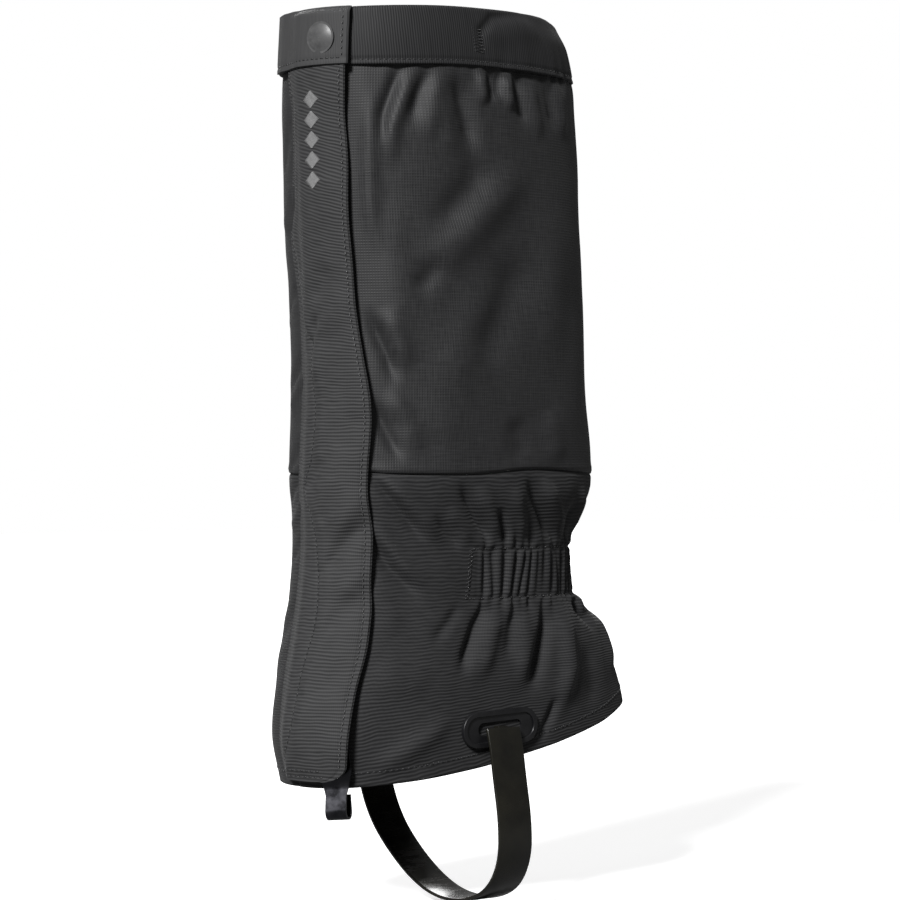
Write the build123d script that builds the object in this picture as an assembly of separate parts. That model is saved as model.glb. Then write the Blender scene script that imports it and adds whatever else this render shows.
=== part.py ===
from build123d import *
import os
from math import atan2, ceil, copysign, cos, degrees, hypot, radians, sin

# Knee-high leg gaiter for the wearer's left leg, worn shape. Millimetres.
# The origin is on the leg's axis at the level of the hem's lowest point. +Z is up the leg,
# -Y is towards the toes and +X is the outer side of the leg.

# ---- driving dimensions: the tube's horizontal sections -------------------------------------
# height, front edge (Y), back edge (Y), half width (X); the sections are superellipses
STATIONS = (
    (0, -97, 104, 50),
    (25, -102, 105, 51),
    (48, -100, 100, 51),
    (75, -95, 87, 49),
    (95, -91.5, 69, 46),
    (124, -89, 66, 46),
    (150, -90, 80, 51),
    (200, -88, 75, 53),
    (300, -92.5, 70, 53),
    (350, -94, 67, 52),
    (390, -92, 55, 51),
)
SECTION_POWER = 2.5
TOP = 389.0
SEAM_HEIGHT = 161.0            # seam between the upper and the lower panel
HEM_FRONT, HEM_MIDDLE, HEM_HEEL = (-97.0, 0.0), (0.0, 12.0), (100.0, 37.0)

# ---- fabric layers: distances from the middle of the shell cloth, outwards positive ----------
CLOTH = 0.8                    # thickness of the shell cloth
GAP = 0.05                     # between two cloths that are sewn together
CLEAR = 0.35                   # between the flap and the sleeve, which move apart
TAPE = 1.3                     # hook tape and loop tape
ELASTIC = 0.9
SHEATH = 0.5                   # flap lining

# ---- cuff band --------------------------------------------------------------------------------
BAND_HEIGHT = 30.0
BAND_OVERLAP = 3.0             # how far the upper panel reaches into the folded band
CAVITY = 0.55                  # half of the inside of the folded band

# ---- front closure ----------------------------------------------------------------------------
SEAM_X = 0.5                   # line where the flap is sewn on
LAP_X = 3.0                    # lateral front edge, hidden under the flap
FLAP_BOTTOM = 4.0
# X of the flap's free edge at each height
FLAP_EDGE = (
    (0, 28.0), (24, 31.0), (70, 34.3), (110, 33.0), (135, 32.0), (180, 34.3),
    (215, 32.7), (255, 29.2), (320, 28.4), (389, 28.8),
)
FLAP_CORNER = 9.0
TAPE_WIDTH = 20.0
TAPE_X = 6.0
TAPE_LOW = 32.0
TAPE_TOP = TOP - BAND_HEIGHT - 8
LOOP_TAPE_START = 22.0         # how far above the hook tape's end the loop tape starts
FLAP_STAND = 0.4 + GAP + TAPE + CLEAR + TAPE + GAP     # inner face of the lining over the tapes
FLAP_STAND_LOW = 2.3           # extra stand over the lace hook's plate
FLAP_STAND_BAND = 1.1          # extra stand over the snap's stud
LOW_RAMP, LOW_RAMP_TOP = 24.0, 48.0   # the extra stand fades out over this height, up to this level
ROOT_RISE = 5.0                # width over which the flap rises from its seam
BAND_RAMP_LOW = 330.0          # height where the flap starts to rise towards the snap
BAND_OUTER = CAVITY + CLOTH
TAB_INNER = FLAP_STAND + FLAP_STAND_BAND - GAP - CLOTH
TAB_OUTER = FLAP_STAND + FLAP_STAND_BAND + SHEATH + 2 * GAP + 2 * CLOTH

# ---- ankle elastic ----------------------------------------------------------------------------
ANKLE_LOW, ANKLE_HIGH = 93.0, 118.0
ANKLE_START, ANKLE_END = 74.0, 286.0     # degrees round from the front, over the outer side

# ---- snap fastener ----------------------------------------------------------------------------
SNAP_X, SNAP_Z = 18.5, 372.0
SNAP_CAP_R = 8.0
SNAP_DOME = 2.0
SNAP_POST_R, SNAP_BORE_R = 3.2, 2.6
SNAP_RING_R = 6.2
SNAP_KNOB_R = 1.9
SNAP_RIM, SNAP_FLANGE = 0.5, 0.25
SOCKET_HEIGHT = 1.0
CURVE_ROOM = 0.5               # the snap's discs are flat and the cloth under them is curved

# ---- oval eyelets and underfoot strap ---------------------------------------------------------
EYELET_Y, EYELET_Z = -9.0, 28.0
EYELET_LENGTH, EYELET_HEIGHT = 48.0, 18.0
EYELET_FACE = 51.5             # X of the outer plate's back face
EYELET_PLATE = 1.1
EYELET_RIM, EYELET_RIM_WIDTH = 1.0, 2.6
EYELET_TILT = 2.4
BACKING_FACE = 49.2            # X of the inner plate's outward face
SLOT_LENGTH, SLOT_HEIGHT = 28.0, 6.6
COLLAR_WALL = 1.6
STRAP_WIDTH, STRAP_THICKNESS = 21.0, 1.8
STRAP_NECK = 6.0
TOGGLE_LENGTH, TOGGLE_HEIGHT, TOGGLE_THICKNESS = 25.0, 4.0, 2.0
# strap's middle line seen from the front, X and Z, from the outer slot round to the inner one
STRAP_LINE = (
    (54.6, 28.0), (57.4, 20.0), (60.0, 4.0), (64.5, -18.0), (64.5, -38.0), (54.0, -54.0),
    (34.0, -61.0), (12.0, -61.0), (-8.0, -54.0), (-28.0, -41.0), (-44.0, -26.0), (-54.0, -6.0),
    (-56.4, 14.0), (-54.6, 28.0),
)

# ---- lace hook --------------------------------------------------------------------------------
HOOK_PLACE = (27.0, -91.7)     # X and Y of the plate's back face at the hem
HOOK_HEADING = 32.0            # the plate is turned from the X axis by this
HOOK_ROLL = 9.0                # its outer corner is higher than the inner one
HOOK_STEEL = 1.2
HOOK_TAB_WIDTH, HOOK_WIDTH = 11.0, 18.0
HOOK_TAB_TOP = 21.0
HOOK_SHOULDER = 1.5            # height where the plate starts to lean out
HOOK_LEAN = (5.2, -9.0)        # where the bend begins, out from the plate and up
HOOK_BEND_R = 3.0              # inside radius of the bend
HOOK_BEND_ANGLE = 195.0
HOOK_TIP = 8.0
RIVET_R, RIVET_HEAD_R, RIVET_HEAD = 1.5, 2.6, 0.6
RIVET_HEIGHTS = (9.0, 17.0)
RIVET_DEPTH = 6.2              # from the plate's back face to the rivets' inner heads
PATCH_SIDES = (14.0, 37.0)     # X of the reinforcing patch's edges

LOW_STEP, HIGH_STEP = 7.0, 13.0          # distance between a strip's sections, foot part and leg part
STRIP_POINTS = 65
NARROW_POINTS = 21

os.makedirs("parts", exist_ok=True)


# ---- the tube's surface -----------------------------------------------------------------------
def interpolate(z, table, column=1):
    """Cubic curve through one column of a table of heights, level at its turning points."""
    heights = [row[0] for row in table]
    values = [row[column] for row in table]
    z = min(max(z, heights[0] - 5), heights[-1] + 5)
    slopes = [(values[i + 1] - values[i]) / (heights[i + 1] - heights[i]) for i in range(len(table) - 1)]
    tangents = [slopes[0]]
    for before, after in zip(slopes, slopes[1:]):
        tangents.append(2 * before * after / (before + after) if before * after > 0 else 0.0)
    tangents.append(slopes[-1])
    i = max(k for k in range(len(slopes)) if k == 0 or heights[k] <= z)
    span = heights[i + 1] - heights[i]
    t = (z - heights[i]) / span
    return (
        (2 * t**3 - 3 * t**2 + 1) * values[i]
        + (t**3 - 2 * t**2 + t) * span * tangents[i]
        + (3 * t**2 - 2 * t**3) * values[i + 1]
        + (t**3 - t**2) * span * tangents[i + 1]
    )


def section(z):
    """Middle (Y), half depth and half width of the tube at a height."""
    front, back, half_width = (interpolate(z, STATIONS, column) for column in (1, 2, 3))
    return (front + back) / 2, (back - front) / 2, half_width


def surface_frame(angle, z):
    """Point and outward normal on the tube, angle in degrees from the front over the outer side."""
    middle, depth, width = section(z)
    across, along = sin(radians(angle)), cos(radians(angle))
    reach = (abs(along / depth) ** SECTION_POWER + abs(across / width) ** SECTION_POWER) ** (-1 / SECTION_POWER)
    x, y = reach * across, middle - reach * along
    nx = copysign(abs(x / width) ** (SECTION_POWER - 1) / width, x)
    ny = copysign(abs((y - middle) / depth) ** (SECTION_POWER - 1) / depth, y - middle)
    size = hypot(nx, ny)
    return x, y, nx / size, ny / size


def tube_point(angle, z, offset=0.0):
    x, y, nx, ny = surface_frame(angle, z)
    return x + offset * nx, y + offset * ny, z


def front_angle(x, z):
    """Angle of the point of the front face that has a given X."""
    middle, depth, width = section(z)
    rise = depth * (1 - abs(x / width) ** SECTION_POWER) ** (1 / SECTION_POWER)
    return degrees(atan2(x, rise))


# ---- cloth strips -----------------------------------------------------------------------------
def levels(low, high):
    steps = max(3, ceil((high - low) / (LOW_STEP if low < SEAM_HEIGHT else HIGH_STEP)))
    return [low + (high - low) * i / steps for i in range(steps + 1)]


def strip(low, high, span, inner, outer, points=STRIP_POINTS):
    """Closed shell strip: span(z) gives its two edge angles, inner and outer its two faces'
    distances from the tube's surface, each a number or a function of the angle and the height."""
    wires = []
    for z in levels(low, high):
        start, end = span(z)
        angles = [start + (end - start) * i / (points - 1) for i in range(points)]
        faces = []
        for face in (outer, inner):
            shift = face if callable(face) else (lambda angle, height, value=face: value)
            faces.append([tube_point(a, z, shift(a, z)) for a in angles])
        far, near = faces
        wires.append(Wire([
            Spline(*far), Line(far[-1], near[-1]), Spline(*reversed(near)), Line(near[0], far[0])
        ]))
    return Solid.make_loft(wires)


def sleeve_span(z):
    """From the lateral front edge round the outer side, heel and inner side to the flap's seam."""
    return front_angle(LAP_X, z), 360 + front_angle(SEAM_X - 1.0, z)


def hem_block(rise=0.0):
    """Everything below the hem's curve, lifted by rise."""
    low = -60.0
    curve = ThreePointArc(*[(y, z + rise) for y, z in (HEM_FRONT, HEM_MIDDLE, HEM_HEEL)])
    start, end = curve @ 0, curve @ 1
    reach = 40.0
    outline = Wire([
        Line((start.X - reach, start.Y), start), curve, Line(end, (end.X + reach, end.Y + 0.3 * reach)),
        Line((end.X + reach, end.Y + 0.3 * reach), (end.X + reach, low)),
        Line((end.X + reach, low), (start.X - reach, low)),
        Line((start.X - reach, low), (start.X - reach, start.Y)),
    ])
    return extrude(Plane.YZ * make_face(outline), amount=80, both=True)


def stadium(length, height, x, thickness, tilt=EYELET_TILT):
    """Oval plate across X at the eyelets' place."""
    plane = Plane(origin=(x, EYELET_Y, EYELET_Z), x_dir=(0, 1, 0), z_dir=(1, 0, 0))
    return extrude(plane * Rot(0, 0, tilt) * SlotOverall(length, height), amount=thickness)


def mirrored(shape):
    return mirror(shape, about=Plane.YZ)


# ---- sleeve -----------------------------------------------------------------------------------
def lower_panel():
    cloth = strip(-4, SEAM_HEIGHT - GAP, sleeve_span, -CLOTH / 2, CLOTH / 2)
    hole = stadium(SLOT_LENGTH + 2 * COLLAR_WALL + 1, SLOT_HEIGHT + 2 * COLLAR_WALL + 1, 40, 20)
    return cloth - hem_block() - hole - mirrored(hole) - hook_rivet_holes()


def upper_panel():
    top = TOP - BAND_HEIGHT + BAND_OVERLAP
    return strip(SEAM_HEIGHT, top, sleeve_span, -CLOTH / 2, CLOTH / 2)


def top_band():
    low, skin = TOP - BAND_HEIGHT, CAVITY + CLOTH
    casing = strip(low, TOP, sleeve_span, -skin, skin)
    cavity = strip(low - 1, TOP - CLOTH, lambda z: (0.5, 359.8), -CAVITY, CAVITY)
    return casing - cavity - snap_hole(SNAP_KNOB_R)


def top_elastic():
    low = TOP - BAND_HEIGHT + BAND_OVERLAP + 0.5
    return strip(low, TOP - CLOTH - 0.5, lambda z: (80, 280), -ELASTIC / 2, ELASTIC / 2)


def ankle_elastic():
    face = -CLOTH / 2 - GAP
    return strip(ANKLE_LOW, ANKLE_HIGH, lambda z: (ANKLE_START, ANKLE_END), face - ELASTIC, face)


def ankle_casing():
    face = -CLOTH / 2 - 2 * GAP - ELASTIC
    span = (ANKLE_START - 2, ANKLE_END + 2)
    return strip(ANKLE_LOW - 4, ANKLE_HIGH + 4, lambda z: span, face - SHEATH, face)


def hem_facing():
    face = -CLOTH / 2 - GAP
    cloth = strip(-4, 56, lambda z: (front_angle(SEAM_X + 36, z) + 6, 358), face - SHEATH, face)
    slot = stadium(EYELET_LENGTH + 2, EYELET_HEIGHT + 2, 40, 20)
    return (cloth - hem_block()) & hem_block(9.0) - slot - mirrored(slot)


def hook_tape():
    face = CLOTH / 2 + GAP
    span = lambda z: (front_angle(TAPE_X, z), front_angle(TAPE_X + TAPE_WIDTH, z))
    return strip(TAPE_LOW, TAPE_TOP, span, face, face + TAPE, NARROW_POINTS)


# ---- flap -------------------------------------------------------------------------------------
def flap_edge(z):
    return interpolate(z, FLAP_EDGE)


def ease(t):
    return t * t * (3 - 2 * t)


def flap_lift(angle, z):
    """Distance of the lining's inner face from the tube: close at the seam, then over the tapes."""
    x = tube_point(angle, z)[0]
    rise = min(max((x - SEAM_X) / ROOT_RISE, 0.0), 1.0)
    low = min(max((LOW_RAMP_TOP - z) / LOW_RAMP, 0.0), 1.0)
    high = min(max((z - BAND_RAMP_LOW) / (TOP - BAND_HEIGHT - 4 - BAND_RAMP_LOW), 0.0), 1.0)
    stand = FLAP_STAND + FLAP_STAND_LOW * ease(low) + FLAP_STAND_BAND * ease(high)
    root = CLOTH / 2 + CLEAR + (CAVITY + 1.5 * CLOTH + GAP) * ease(high)
    return root + (stand - root) * ease(rise)


def layer(distance):
    return lambda angle, z: flap_lift(angle, z) + distance


def flap_sheet(near, far, low=FLAP_BOTTOM, high=TOP - CLOTH - GAP, proud=0.0):
    span = lambda z: (front_angle(SEAM_X, z), front_angle(flap_edge(z) + proud, z))
    return strip(low, high, span, layer(near), layer(far), NARROW_POINTS)


def corner_cut():
    """Rounds the flap's lower free corner, seen from the front."""
    edge, r = flap_edge(FLAP_BOTTOM), FLAP_CORNER
    square = Pos(edge - r / 2 + 5, 0, FLAP_BOTTOM + r / 2 - 5) * Box(r + 10, 80, r + 10)
    disc = Pos(edge - r, 0, FLAP_BOTTOM + r) * Rot(90, 0, 0) * Cylinder(r, 90)
    return Pos(0, -80, 0) * (square - disc)


def front_flap():
    return flap_sheet(SHEATH + GAP, SHEATH + GAP + CLOTH) - corner_cut() - snap_hole(SNAP_POST_R)


def flap_lining():
    return flap_sheet(0, SHEATH) - corner_cut() - snap_hole(SNAP_POST_R)


def loop_tape():
    span = lambda z: (front_angle(TAPE_X, z), front_angle(TAPE_X + TAPE_WIDTH, z))
    return strip(
        TAPE_LOW + LOOP_TAPE_START, TAPE_TOP, span, layer(-GAP - TAPE), layer(-GAP), NARROW_POINTS
    )


def band_tab():
    """End of the folded cuff band that crosses the flap."""
    low, far = TOP - BAND_HEIGHT, SHEATH + 2 * GAP + CLOTH
    casing = flap_sheet(-GAP - CLOTH, far + CLOTH, low, TOP, CLOTH + GAP)
    cavity = flap_sheet(-GAP, far, low - 1, TOP - CLOTH, GAP)
    return casing - cavity - snap_hole(SNAP_POST_R)


# ---- snap fastener ----------------------------------------------------------------------------
def snap_plane(distance):
    """Plane across the snap's axis, at a distance outwards from the tube's surface."""
    x, y, nx, ny = surface_frame(front_angle(SNAP_X, SNAP_Z), SNAP_Z)
    origin = (x + distance * nx, y + distance * ny, SNAP_Z)
    return Plane(origin=origin, x_dir=(-ny, nx, 0), z_dir=(nx, ny, 0))


def snap_disc(radius, low, high):
    return extrude(snap_plane(low) * Circle(radius), amount=high - low)


def snap_hole(radius):
    return snap_disc(radius + GAP, -10, 20)


def snap_cap():
    sphere_r = (SNAP_CAP_R**2 + SNAP_DOME**2) / (2 * SNAP_DOME)
    base = TAB_OUTER + CURVE_ROOM
    dome = snap_plane(base + SNAP_DOME - sphere_r) * Sphere(sphere_r) & snap_disc(SNAP_CAP_R, base, base + 5)
    rim = snap_disc(SNAP_CAP_R, base, base + SNAP_RIM)
    low = TAB_INNER - CURVE_ROOM
    post = snap_disc(SNAP_POST_R, low, base) - snap_disc(SNAP_BORE_R, low - 1, base - 0.6)
    return dome + rim + post


def snap_socket():
    low = TAB_INNER - CURVE_ROOM - SOCKET_HEIGHT
    return snap_disc(SNAP_RING_R, low, low + SOCKET_HEIGHT) - snap_disc(SNAP_BORE_R, low - 1, low + 3)


def snap_stud():
    low = BAND_OUTER + 0.35
    flange = snap_disc(SNAP_RING_R - 1, low, low + SNAP_FLANGE)
    knob = snap_disc(SNAP_KNOB_R, -BAND_OUTER - CURVE_ROOM, TAB_INNER + 1.2)
    return flange + knob


def snap_post():
    low = -BAND_OUTER - CURVE_ROOM - 0.6
    return snap_disc(SNAP_RING_R - 1, low, low + 0.6)


# ---- eyelets and strap ------------------------------------------------------------------------
def eyelet_plate():
    plate = stadium(EYELET_LENGTH, EYELET_HEIGHT, EYELET_FACE, EYELET_PLATE)
    rim = stadium(EYELET_LENGTH, EYELET_HEIGHT, EYELET_FACE, EYELET_PLATE + EYELET_RIM)
    rim -= stadium(EYELET_LENGTH - 2 * EYELET_RIM_WIDTH, EYELET_HEIGHT - 2 * EYELET_RIM_WIDTH, EYELET_FACE, 9)
    rim = fillet(rim.faces().sort_by(Axis.X)[-1].edges(), 0.45)
    collar = stadium(
        SLOT_LENGTH + 2 * COLLAR_WALL, SLOT_HEIGHT + 2 * COLLAR_WALL,
        BACKING_FACE + GAP, EYELET_FACE - BACKING_FACE,
    )
    return plate + rim + collar - stadium(SLOT_LENGTH, SLOT_HEIGHT, 40, 30)


def eyelet_backing():
    plate = stadium(EYELET_LENGTH - 2, EYELET_HEIGHT - 2, BACKING_FACE - EYELET_PLATE, EYELET_PLATE)
    return plate - stadium(SLOT_LENGTH, SLOT_HEIGHT, 40, 30)


def strap_end():
    """Neck through the outer slot and the cross bar that holds it inside."""
    outside = STRAP_LINE[0][0]
    inside = BACKING_FACE - EYELET_PLATE - 0.5 - TOGGLE_THICKNESS
    neck = Pos((outside + inside) / 2, EYELET_Y, EYELET_Z) * Box(outside - inside, STRAP_NECK, STRAP_THICKNESS)
    bar = Pos(inside + TOGGLE_THICKNESS / 2, EYELET_Y, EYELET_Z) * Box(
        TOGGLE_THICKNESS, TOGGLE_LENGTH, TOGGLE_HEIGHT
    )
    return neck + bar


def underfoot_strap():
    line = Spline(*[(x, z) for x, z in STRAP_LINE], tangents=[(0.6, -1), (0.6, 1)])
    count = 60
    half = STRAP_THICKNESS / 2
    sides = ([], [])
    for i in range(count + 1):
        point, along = line @ (i / count), line % (i / count)
        for side, sign in zip(sides, (half, -half)):
            side.append((point.X - sign * along.Y, point.Y + sign * along.X))
    left, right = sides
    outline = Wire([
        Spline(*left), Line(left[-1], right[-1]), Spline(*reversed(right)), Line(right[0], left[0])
    ])
    plane = Plane(origin=(0, EYELET_Y, 0), x_dir=(1, 0, 0), z_dir=(0, -1, 0))
    loop = extrude(plane * make_face(outline), amount=STRAP_WIDTH / 2, both=True)
    return loop + strap_end() + mirrored(strap_end())


# ---- lace hook --------------------------------------------------------------------------------
def hook_frame():
    """Plane with X out from the plate, Y up and its normal along the plate's width."""
    heading = radians(HOOK_HEADING)
    out = Vector(sin(heading), -cos(heading), 0)
    plane = Plane(origin=(*HOOK_PLACE, 0), x_dir=out, z_dir=out.cross(Vector(0, 0, 1)))
    return plane.rotated((HOOK_ROLL, 0, 0))


def hook_path():
    """Side view of the bent strip's middle line: tab, lean, round bend and tip."""
    half = HOOK_STEEL / 2
    shoulder = FilletPolyline((half, HOOK_TAB_TOP), (half, HOOK_SHOULDER), HOOK_LEAN, radius=6)
    bend = JernArc(shoulder @ 1, shoulder % 1, HOOK_BEND_R + half, -HOOK_BEND_ANGLE)
    tip = Line(bend @ 1, bend @ 1 + (bend % 1) * HOOK_TIP)
    return shoulder + bend + tip


def lace_hook():
    frame = hook_frame()
    body = extrude(frame * trace(hook_path(), HOOK_STEEL), amount=HOOK_WIDTH / 2, both=True)
    flare = Plane(origin=frame.origin, x_dir=frame.z_dir, z_dir=frame.x_dir)
    half, tab = HOOK_WIDTH / 2, HOOK_TAB_WIDTH / 2
    mask = Polyline(
        (-tab, HOOK_TAB_TOP + 2), (-tab, 2), (-half, -9), (-half, -30), (half, -30), (half, -9),
        (tab, 2), (tab, HOOK_TAB_TOP + 2), close=True,
    )
    holes = [hook_cylinder(height, RIVET_R + GAP, -1, 3) for height in RIVET_HEIGHTS]
    return (body & extrude(flare * make_face(mask), amount=30, both=True)) - Compound(children=holes)


def hook_cylinder(height, radius, near, far):
    frame = hook_frame()
    centre = frame.from_local_coords(Vector(near, height, 0))
    return extrude(Plane(origin=centre, z_dir=frame.x_dir) * Circle(radius), amount=far - near)


def hook_rivet_holes():
    return Compound(children=[hook_cylinder(h, RIVET_R + GAP, -9, 3) for h in RIVET_HEIGHTS])


def lace_hook_rivets():
    rivets = []
    for height in RIVET_HEIGHTS:
        shank = hook_cylinder(height, RIVET_R, -RIVET_DEPTH, HOOK_STEEL)
        head = hook_cylinder(height, RIVET_HEAD_R, HOOK_STEEL + GAP, HOOK_STEEL + GAP + RIVET_HEAD)
        tail = hook_cylinder(height, RIVET_HEAD_R, -RIVET_DEPTH - RIVET_HEAD, -RIVET_DEPTH)
        neck = hook_cylinder(height, RIVET_R, HOOK_STEEL, HOOK_STEEL + GAP)
        rivets.append(shank + neck + head + tail)
    return Compound(children=rivets)


def lace_hook_patch():
    face = -CLOTH / 2 - GAP
    span = lambda z: tuple(front_angle(x, z) for x in PATCH_SIDES)
    return strip(3, 27, span, face - CLOTH, face, 9) - hook_rivet_holes()


NODES = {
    "upper_panel": upper_panel, "lower_panel": lower_panel, "top_band": top_band,
    "top_elastic": top_elastic, "ankle_elastic": ankle_elastic, "ankle_casing": ankle_casing,
    "hem_facing": hem_facing, "hook_tape": hook_tape, "front_flap": front_flap,
    "flap_lining": flap_lining, "loop_tape": loop_tape, "band_tab": band_tab,
    "snap_cap": snap_cap, "snap_socket": snap_socket, "snap_stud": snap_stud,
    "snap_post": snap_post, "outer_eyelet_plate": eyelet_plate,
    "outer_eyelet_backing": eyelet_backing, "inner_eyelet_plate": lambda: mirrored(eyelet_plate()),
    "inner_eyelet_backing": lambda: mirrored(eyelet_backing()), "underfoot_strap": underfoot_strap,
    "lace_hook": lace_hook, "lace_hook_rivets": lace_hook_rivets, "lace_hook_patch": lace_hook_patch,
}

for name, build in NODES.items():
    export_step(build(), f"parts/{name}.step")
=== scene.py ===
"""Knee-high leg gaiter: cloth sleeve with a gathered ankle, snap cuff, front flap, lace hook and strap."""
import math

import bpy
import numpy as np
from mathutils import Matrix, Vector


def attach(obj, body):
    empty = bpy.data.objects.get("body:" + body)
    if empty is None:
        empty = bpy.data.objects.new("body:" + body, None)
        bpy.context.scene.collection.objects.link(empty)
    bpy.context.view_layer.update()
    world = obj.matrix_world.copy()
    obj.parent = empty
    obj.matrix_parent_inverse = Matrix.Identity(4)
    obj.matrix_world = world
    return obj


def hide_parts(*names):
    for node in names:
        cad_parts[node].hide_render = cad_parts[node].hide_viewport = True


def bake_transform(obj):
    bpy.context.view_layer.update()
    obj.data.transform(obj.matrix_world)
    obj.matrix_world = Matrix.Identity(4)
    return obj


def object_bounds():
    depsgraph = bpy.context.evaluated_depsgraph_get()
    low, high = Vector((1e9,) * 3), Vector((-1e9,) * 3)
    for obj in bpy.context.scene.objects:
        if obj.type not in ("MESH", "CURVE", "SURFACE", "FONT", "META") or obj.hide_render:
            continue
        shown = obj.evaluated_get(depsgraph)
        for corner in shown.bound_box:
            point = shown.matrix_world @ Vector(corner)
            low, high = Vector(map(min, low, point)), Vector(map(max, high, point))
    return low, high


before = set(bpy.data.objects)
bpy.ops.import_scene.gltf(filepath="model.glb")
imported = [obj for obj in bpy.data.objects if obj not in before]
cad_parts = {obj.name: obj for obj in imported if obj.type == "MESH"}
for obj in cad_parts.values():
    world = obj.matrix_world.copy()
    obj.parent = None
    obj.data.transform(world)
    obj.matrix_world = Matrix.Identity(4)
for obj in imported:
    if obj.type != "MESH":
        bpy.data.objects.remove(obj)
cad_box = [list(corner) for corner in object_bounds()]

MM = 0.001

# ---- the sleeve's horizontal sections, as in the CAD: height, front, back, half width (mm) ----
STATIONS = np.array((
    (0, -97, 104, 50), (25, -102, 105, 51), (48, -100, 100, 51), (75, -95, 87, 49),
    (95, -91.5, 69, 46), (124, -89, 66, 46), (150, -90, 80, 51), (200, -88, 75, 53),
    (300, -92.5, 70, 53), (350, -94, 67, 52), (390, -92, 55, 51),
), float)
SECTION_POWER = 2.5
TOP, BAND_LOW, SEAM = 389.0, 359.0, 157.0
SEAM_X, LAP_X = 0.5, 3.0
ANKLE_LOW, ANKLE_HIGH = 93.0, 118.0
FLAP_EDGE = np.array((
    (0, 28.0), (24, 31.0), (70, 34.3), (110, 33.0), (135, 32.0), (180, 34.3),
    (215, 32.7), (255, 29.2), (320, 28.4), (389, 28.8),
))
# X of the flap's row of root stitches at each height: it wanders with the soft cloth
ROOT_STITCHES = np.array((
    (4, -2.0), (28, 8.5), (55, 10.5), (85, 13.8), (115, 11.2), (135, 7.5), (149, 2.5), (165, 8.0),
    (185, 9.5), (205, 7.0), (219, 6.5), (231, -1.0), (245, -5.5), (262, -9.0), (277, -13.0),
    (292, -9.5), (310, -7.5), (340, -6.0), (357, -7.0),
))
FLAP_LOW = 4.0


# ---- surface of the sleeve ----------------------------------------------------------------------
def curve(z, table, column=1):
    """Cubic through one column of a table of heights, level at its turning points."""
    heights, values = table[:, 0], table[:, column]
    slopes = np.diff(values) / np.diff(heights)
    same = slopes[:-1] * slopes[1:] > 0
    inner = np.where(same, 2 * slopes[:-1] * slopes[1:] / np.where(same, slopes[:-1] + slopes[1:], 1), 0)
    tangents = np.concatenate([slopes[:1], inner, slopes[-1:]])
    z = np.clip(z, heights[0] - 5, heights[-1] + 5)
    i = np.clip(np.searchsorted(heights, z, side="right") - 1, 0, len(slopes) - 1)
    span = heights[i + 1] - heights[i]
    t = (z - heights[i]) / span
    return (
        (2 * t**3 - 3 * t**2 + 1) * values[i] + (t**3 - 2 * t**2 + t) * span * tangents[i]
        + (3 * t**2 - 2 * t**3) * values[i + 1] + (t**3 - t**2) * span * tangents[i + 1]
    )


def surface(angle, z):
    """x, y and outward normal of the sleeve, angle in degrees from the front over the outer side."""
    front, back, width = (curve(z, STATIONS, column) for column in (1, 2, 3))
    middle, depth = (front + back) / 2, (back - front) / 2
    across, along = np.sin(np.radians(angle)), np.cos(np.radians(angle))
    n = SECTION_POWER
    reach = (np.abs(along / depth) ** n + np.abs(across / width) ** n) ** (-1 / n)
    x, y = reach * across, middle - reach * along
    nx = np.sign(x) * np.abs(x / width) ** (n - 1) / width
    ny = np.sign(y - middle) * np.abs((y - middle) / depth) ** (n - 1) / depth
    size = np.hypot(nx, ny)
    return x, y, nx / size, ny / size


ARC_ANGLES = np.linspace(-40, 400, 881)


def arc_table(z):
    """Arc length from the front centre at each of ARC_ANGLES, for one height."""
    x, y, _, _ = surface(ARC_ANGLES, np.full_like(ARC_ANGLES, z))
    run = np.concatenate([[0], np.cumsum(np.hypot(np.diff(x), np.diff(y)))])
    return run - np.interp(0, ARC_ANGLES, run)


ARC_HEIGHTS = np.linspace(-5, 395, 201)
ARCS = np.array([arc_table(z) for z in ARC_HEIGHTS])


def cell(value, grid):
    """Index of the grid cell that holds a value, and the share of the way across it."""
    t = np.clip((np.asarray(value, float) - grid[0]) / (grid[1] - grid[0]), 0, len(grid) - 1.001)
    i = t.astype(int)
    return i, t - i


def arc_of(angle, z):
    """Arc length in mm from the front centre over the outer side."""
    angle, z = np.broadcast_arrays(np.asarray(angle, float), np.asarray(z, float))
    i, t = cell(z, ARC_HEIGHTS)
    j, f = cell(angle, ARC_ANGLES)
    low = ARCS[i, j] * (1 - f) + ARCS[i, j + 1] * f
    high = ARCS[i + 1, j] * (1 - f) + ARCS[i + 1, j + 1] * f
    return low * (1 - t) + high * t


def angle_of(arc, z):
    """Angle at an arc length, one height or one per arc length."""
    arc, z = np.broadcast_arrays(np.asarray(arc, float), np.asarray(z, float))
    found = [np.interp(a, arc_table(h), ARC_ANGLES) for a, h in zip(arc.ravel(), z.ravel())]
    return np.array(found).reshape(arc.shape)


def front_angle(x, z):
    """Angle of the sleeve's front half at each X."""
    front, back, width = (curve(z, STATIONS, column) for column in (1, 2, 3))
    depth = (back - front) / 2
    rise = depth * (1 - np.abs(x / width) ** SECTION_POWER) ** (1 / SECTION_POWER)
    return np.degrees(np.arctan2(x, rise))


def hem_height(y):
    """The hem's line: an arc through three points of the side view."""
    (y1, z1), (y2, z2), (y3, z3) = (-97.0, 0.0), (0.0, 12.0), (100.0, 37.0)
    a = np.array([[y2 - y1, z2 - z1], [y3 - y1, z3 - z1]]) * 2
    b = np.array([y2**2 - y1**2 + z2**2 - z1**2, y3**2 - y1**2 + z3**2 - z1**2])
    cy, cz = np.linalg.solve(a, b)
    radius = math.hypot(y1 - cy, z1 - cz)
    return cz - np.sqrt(radius**2 - (np.clip(y, -105, 110) - cy) ** 2)


def hem_at(angle):
    """Height of the hem at each angle."""
    z = np.zeros_like(angle)
    for _ in range(8):
        z = hem_height(surface(angle, z)[1])
    return z


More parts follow.
